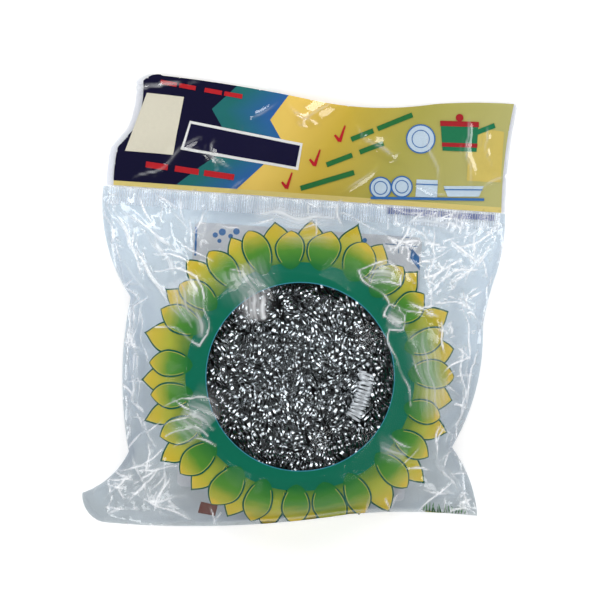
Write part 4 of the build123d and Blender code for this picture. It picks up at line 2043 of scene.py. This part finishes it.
        rim, label, panel = PlainPrint(), PlainPrint(), PlainPrint()
        rim.patch((-40.6, 76.6), (-0.6, 69.6), (0.9, 78.7), (-37.4, 86.4))
        label.patch((-39.4, 77.4), (-1.4, 70.7), (0.0, 77.9), (-37.0, 85.4))
        panel.patch((-59.5, 76.2), (-43.2, 74.8), (-39.4, 94.5), (-52.0, 95.9))
        ink("label_rim", colour(244, 244, 240), 1, rim)
        ink("label_field", colour(16, 13, 52), 2, label)
        ink("cream_panel", colour(232, 226, 204), 1, panel)
        ghost = PlainPrint()
        ghost.patch((56.6, 66.0), (68.2, 65.4), (69.4, 82.6), (57.4, 84.6))
        ink("panel_behind", colour(220, 198, 106), 1, ghost)
        red = PlainPrint()
        red.dashes((-47.4, 99.6), (-19.6, 94.6), 1.5, ((0, 0.2), (0.23, 0.43), (0.54, 0.75),
                                                       (0.78, 1.0)))
        red.dashes((-52.4, 71.6), (-22.4, 67.2), 2.0, ((0, 0.25), (0.33, 0.6), (0.66, 1.0)))
        for x, y in ((13.4, 79.5), (4.9, 71.3), (-4.6, 63.6)):
            red.stroke((x - 1.6, y + 2.0), (x, y), 0.7, 1.2)
            red.stroke((x, y - 0.3), (x + 1.9, y + 5.2), 1.2, 0.5)
        ink("red_marks", colour(196, 36, 44), 2, red)
        green = PlainPrint()
        green.dashes((17.4, 80.0), (38.2, 88.4), 1.7, ((0, 0.36), (0.43, 1.0)))
        green.dashes((9.0, 71.4), (28.4, 78.7), 1.7, ((0, 0.45), (0.58, 1.0)))
        green.dashes((0.2, 63.4), (18.4, 68.8), 1.8, ((0, 1.0),))
        ink("green_dashes", colour(44, 118, 62), 2, green)
        white, blue, pan = PlainPrint(), PlainPrint(), PlainPrint()
        for x, y, size in ((27.4, 63.6, 3.8), (34.6, 64.0, 3.7), (41.0, 80.2, 5.0)):
            white.ring((x, y), size)
            blue.ring((x, y), size, size - 0.45)
            blue.ring((x, y), size * 0.62, size * 0.62 - 0.3)
        white.patch((39.2, 60.6), (46.6, 60.3), (46.8, 66.2), (39.6, 66.5))
        white.patch((50.2, 60.6), (60.8, 60.6), (62.4, 64.2), (48.8, 64.2))
        blue.dashes((24.0, 60.2), (62.6, 59.6), 0.9, ((0, 1.0),))
        blue.dashes((39.4, 64.9), (46.8, 64.6), 0.4, ((0, 1.0),))
        blue.dashes((49.0, 63.0), (62.0, 62.9), 0.4, ((0, 1.0),))
        pan.patch((48.4, 76.2), (60.0, 75.8), (60.6, 84.4), (47.8, 84.8))
        pan.stroke((60.0, 82.4), (66.2, 84.8), 1.7)
        ink("dish_white", colour(206, 224, 236), 2, white)
        ink("pan_green", colour(36, 126, 84), 2, pan)
        ink("dish_blue", colour(62, 118, 184), 3, blue)
        lid = PlainPrint()
        lid.patch((47.6, 84.6), (60.8, 84.2), (60.8, 86.0), (47.6, 86.4))
        lid.ring((54.2, 87.4), 1.3)
        lid.patch((48.2, 77.6), (60.2, 77.2), (60.3, 78.6), (48.2, 79.0))
        ink("pan_red", colour(176, 40, 46), 3, lid)

    def build(self) -> None:
        """Builds both leaves and their print."""
        outline = plan_outline("header_back_leaf")
        printed = self.printed_outline(outline)
        ink = HeaderInk("header_ink", colour(204, 178, 60), opacity=0.9)
        pieces = {}
        for name, shape, mirrored in (("header_front_film", outline, False),
                                      ("header_front_ink", printed, False),
                                      ("header_back_ink", printed, True)):
            piece = self.leaf(name, shape, mirrored)
            rows = places(piece.data)
            if mirrored:
                rows[:, 2] = BACK_INK_HEIGHT
            else:
                under = 0.0 if shape is outline else self.ink_depth
                rows[:, 2] = self.front_heights(rows[:, :2].copy()) - under
            put_places(piece.data, rows)
            pieces[name] = piece
        clear = FilmFinish("header_film", tint=(0.99, 0.992, 0.998, 1.0)).make()
        self.hinged(pieces["header_front_film"], clear, Slot.HEADER_FRONT, "header_front_leaf")
        self.hinged(pieces["header_front_ink"], ink.make(), Slot.HEADER_FRONT)
        solid = HeaderInk("header_ink_back", colour(196, 170, 58), opacity=0.9)
        self.hinged(pieces["header_back_ink"], solid.make(), Slot.HEADER_BACK)
        back = FilmFinish("header_back_film", mirror=0.015, tint=(0.95, 0.96, 0.98, 1.0)).make()
        skin = as_object("header_back_film_skin", upper_skin("header_back_leaf"), smooth=False)
        dress(skin, back, Body.HEADER, Slot.HEADER_BACK, "header_back_leaf")
        front = pieces["header_front_film"]
        flat = places(front.data)[:, :2].copy()
        # The header's creases whiten too, partly as painted highlight.
        drawn = np.max([fold.whitening_and_highlight(flat) for fold in self.folds], axis=0)
        mark_creases(front, 0.3 * drawn, np.full(len(flat), 0.5), np.zeros(len(flat)))
        self.marks(front)
        self.strip()


@dataclass
class Studio:
    """White floor and walls under a dark ceiling, soft lamps, and the camera straight above."""

    centre: tuple[float, float] = (0.0, 0.0255)
    distance: float = 2.0
    view_width: float = 0.204
    sensor: float = 36.0
    glow: float = 0.2
    floor_half: float = 3.0
    floor_level: float = -0.0001
    wall_top: float = 0.1
    ceiling_start: float = 0.24
    ceiling: float = 0.04
    lamps: tuple = ((124, 7.0), (64, 6.4), (4, 6.2), (-56, 5.2), (-116, 5.2), (184, 6.2))
    lamp_distance: float = 1.35
    lamp_lean: float = 55.0
    lamp_size: tuple[float, float] = (0.4, 1.05)

    def floor(self) -> None:
        """Lays the white floor."""
        bm = bmesh.new()
        bmesh.ops.create_grid(bm, x_segments=4, y_segments=4, size=self.floor_half)
        floor = as_object("floor", bm)
        floor.location.z = self.floor_level
        graph = Graph("floor_paper")
        path = graph.add("LightPath").outputs
        seen = graph.math("MAXIMUM", path["Is Camera Ray"], path["Is Transmission Ray"])
        seen = graph.math("MAXIMUM", seen, path["Is Glossy Ray"])
        white = colour(252, 252, 252)
        paper = graph.add("BsdfDiffuse", {"Color": white}).outputs[0]
        glow = graph.add("Emission", {"Color": white, "Strength": self.glow}).outputs[0]
        lit = graph.add("AddShader", {0: paper, 1: glow}).outputs[0]
        floor.data.materials.append(graph.finish(graph.layered(seen, paper, lit)))

    def lamp(self, name: str, heading: float, power: float) -> None:
        """Stands a tall soft lamp aimed at the pack.

        Args:
            name: The lamp's name.
            heading: The side it stands on, in degrees from +X towards +Y.
            power: Its power in watts.
        """
        light = bpy.data.lights.new(name, "AREA")
        light.shape, light.energy = "RECTANGLE", power
        light.size, light.size_y = self.lamp_size
        lamp = bpy.data.objects.new(name, light)
        bpy.context.scene.collection.objects.link(lamp)
        turn, tilt = math.radians(heading), math.radians(self.lamp_lean)
        away = Vector((math.cos(turn) * math.sin(tilt), math.sin(turn) * math.sin(tilt),
                       math.cos(tilt)))
        lamp.location = Vector((*self.centre, 0.0)) + away * self.lamp_distance
        lamp.rotation_euler = (-away).to_track_quat("-Z", "Y").to_euler()

    def build(self) -> None:
        """Builds the studio."""
        scene = bpy.context.scene
        scene.view_settings.view_transform = "Standard"
        self.floor()
        for i, (heading, power) in enumerate(self.lamps):
            self.lamp(f"tall_lamp_{i}", heading, power)
        world = bpy.data.worlds.new("white_room")
        world.use_nodes = True
        scene.world = world
        tree = world.node_tree
        back = tree.nodes["Background"]
        back.inputs["Color"].default_value = WHITE
        heading = tree.nodes.new("ShaderNodeSeparateXYZ")
        sky = tree.nodes.new("ShaderNodeTexCoord")
        strength = tree.nodes.new("ShaderNodeMapRange")
        for name, value in (("From Min", self.wall_top), ("From Max", self.ceiling_start),
                            ("To Min", 1.0), ("To Max", self.ceiling)):
            strength.inputs[name].default_value = value
        tree.links.new(sky.outputs["Generated"], heading.inputs[0])
        tree.links.new(heading.outputs["Z"], strength.inputs["Value"])
        tree.links.new(strength.outputs["Result"], back.inputs["Strength"])
        camera = bpy.data.cameras.new("camera")
        camera.sensor_width = self.sensor
        camera.lens = self.sensor / 2 / (self.view_width / 2 / self.distance)
        eye = bpy.data.objects.new("camera", camera)
        scene.collection.objects.link(eye)
        eye.location = (*self.centre, self.distance)
        scene.camera = eye


def main() -> None:
    """Builds the pack, from the inside out."""
    logging.basicConfig(level=logging.INFO, format="%(name)s %(message)s")
    Scourer().build()
    film = FilmBag().build()
    WindowPrint().build(film)
    FootPrint().build(film)
    InsertCard().build()
    Header().build()
    Studio().build()


if __name__ == "__main__":
    main()
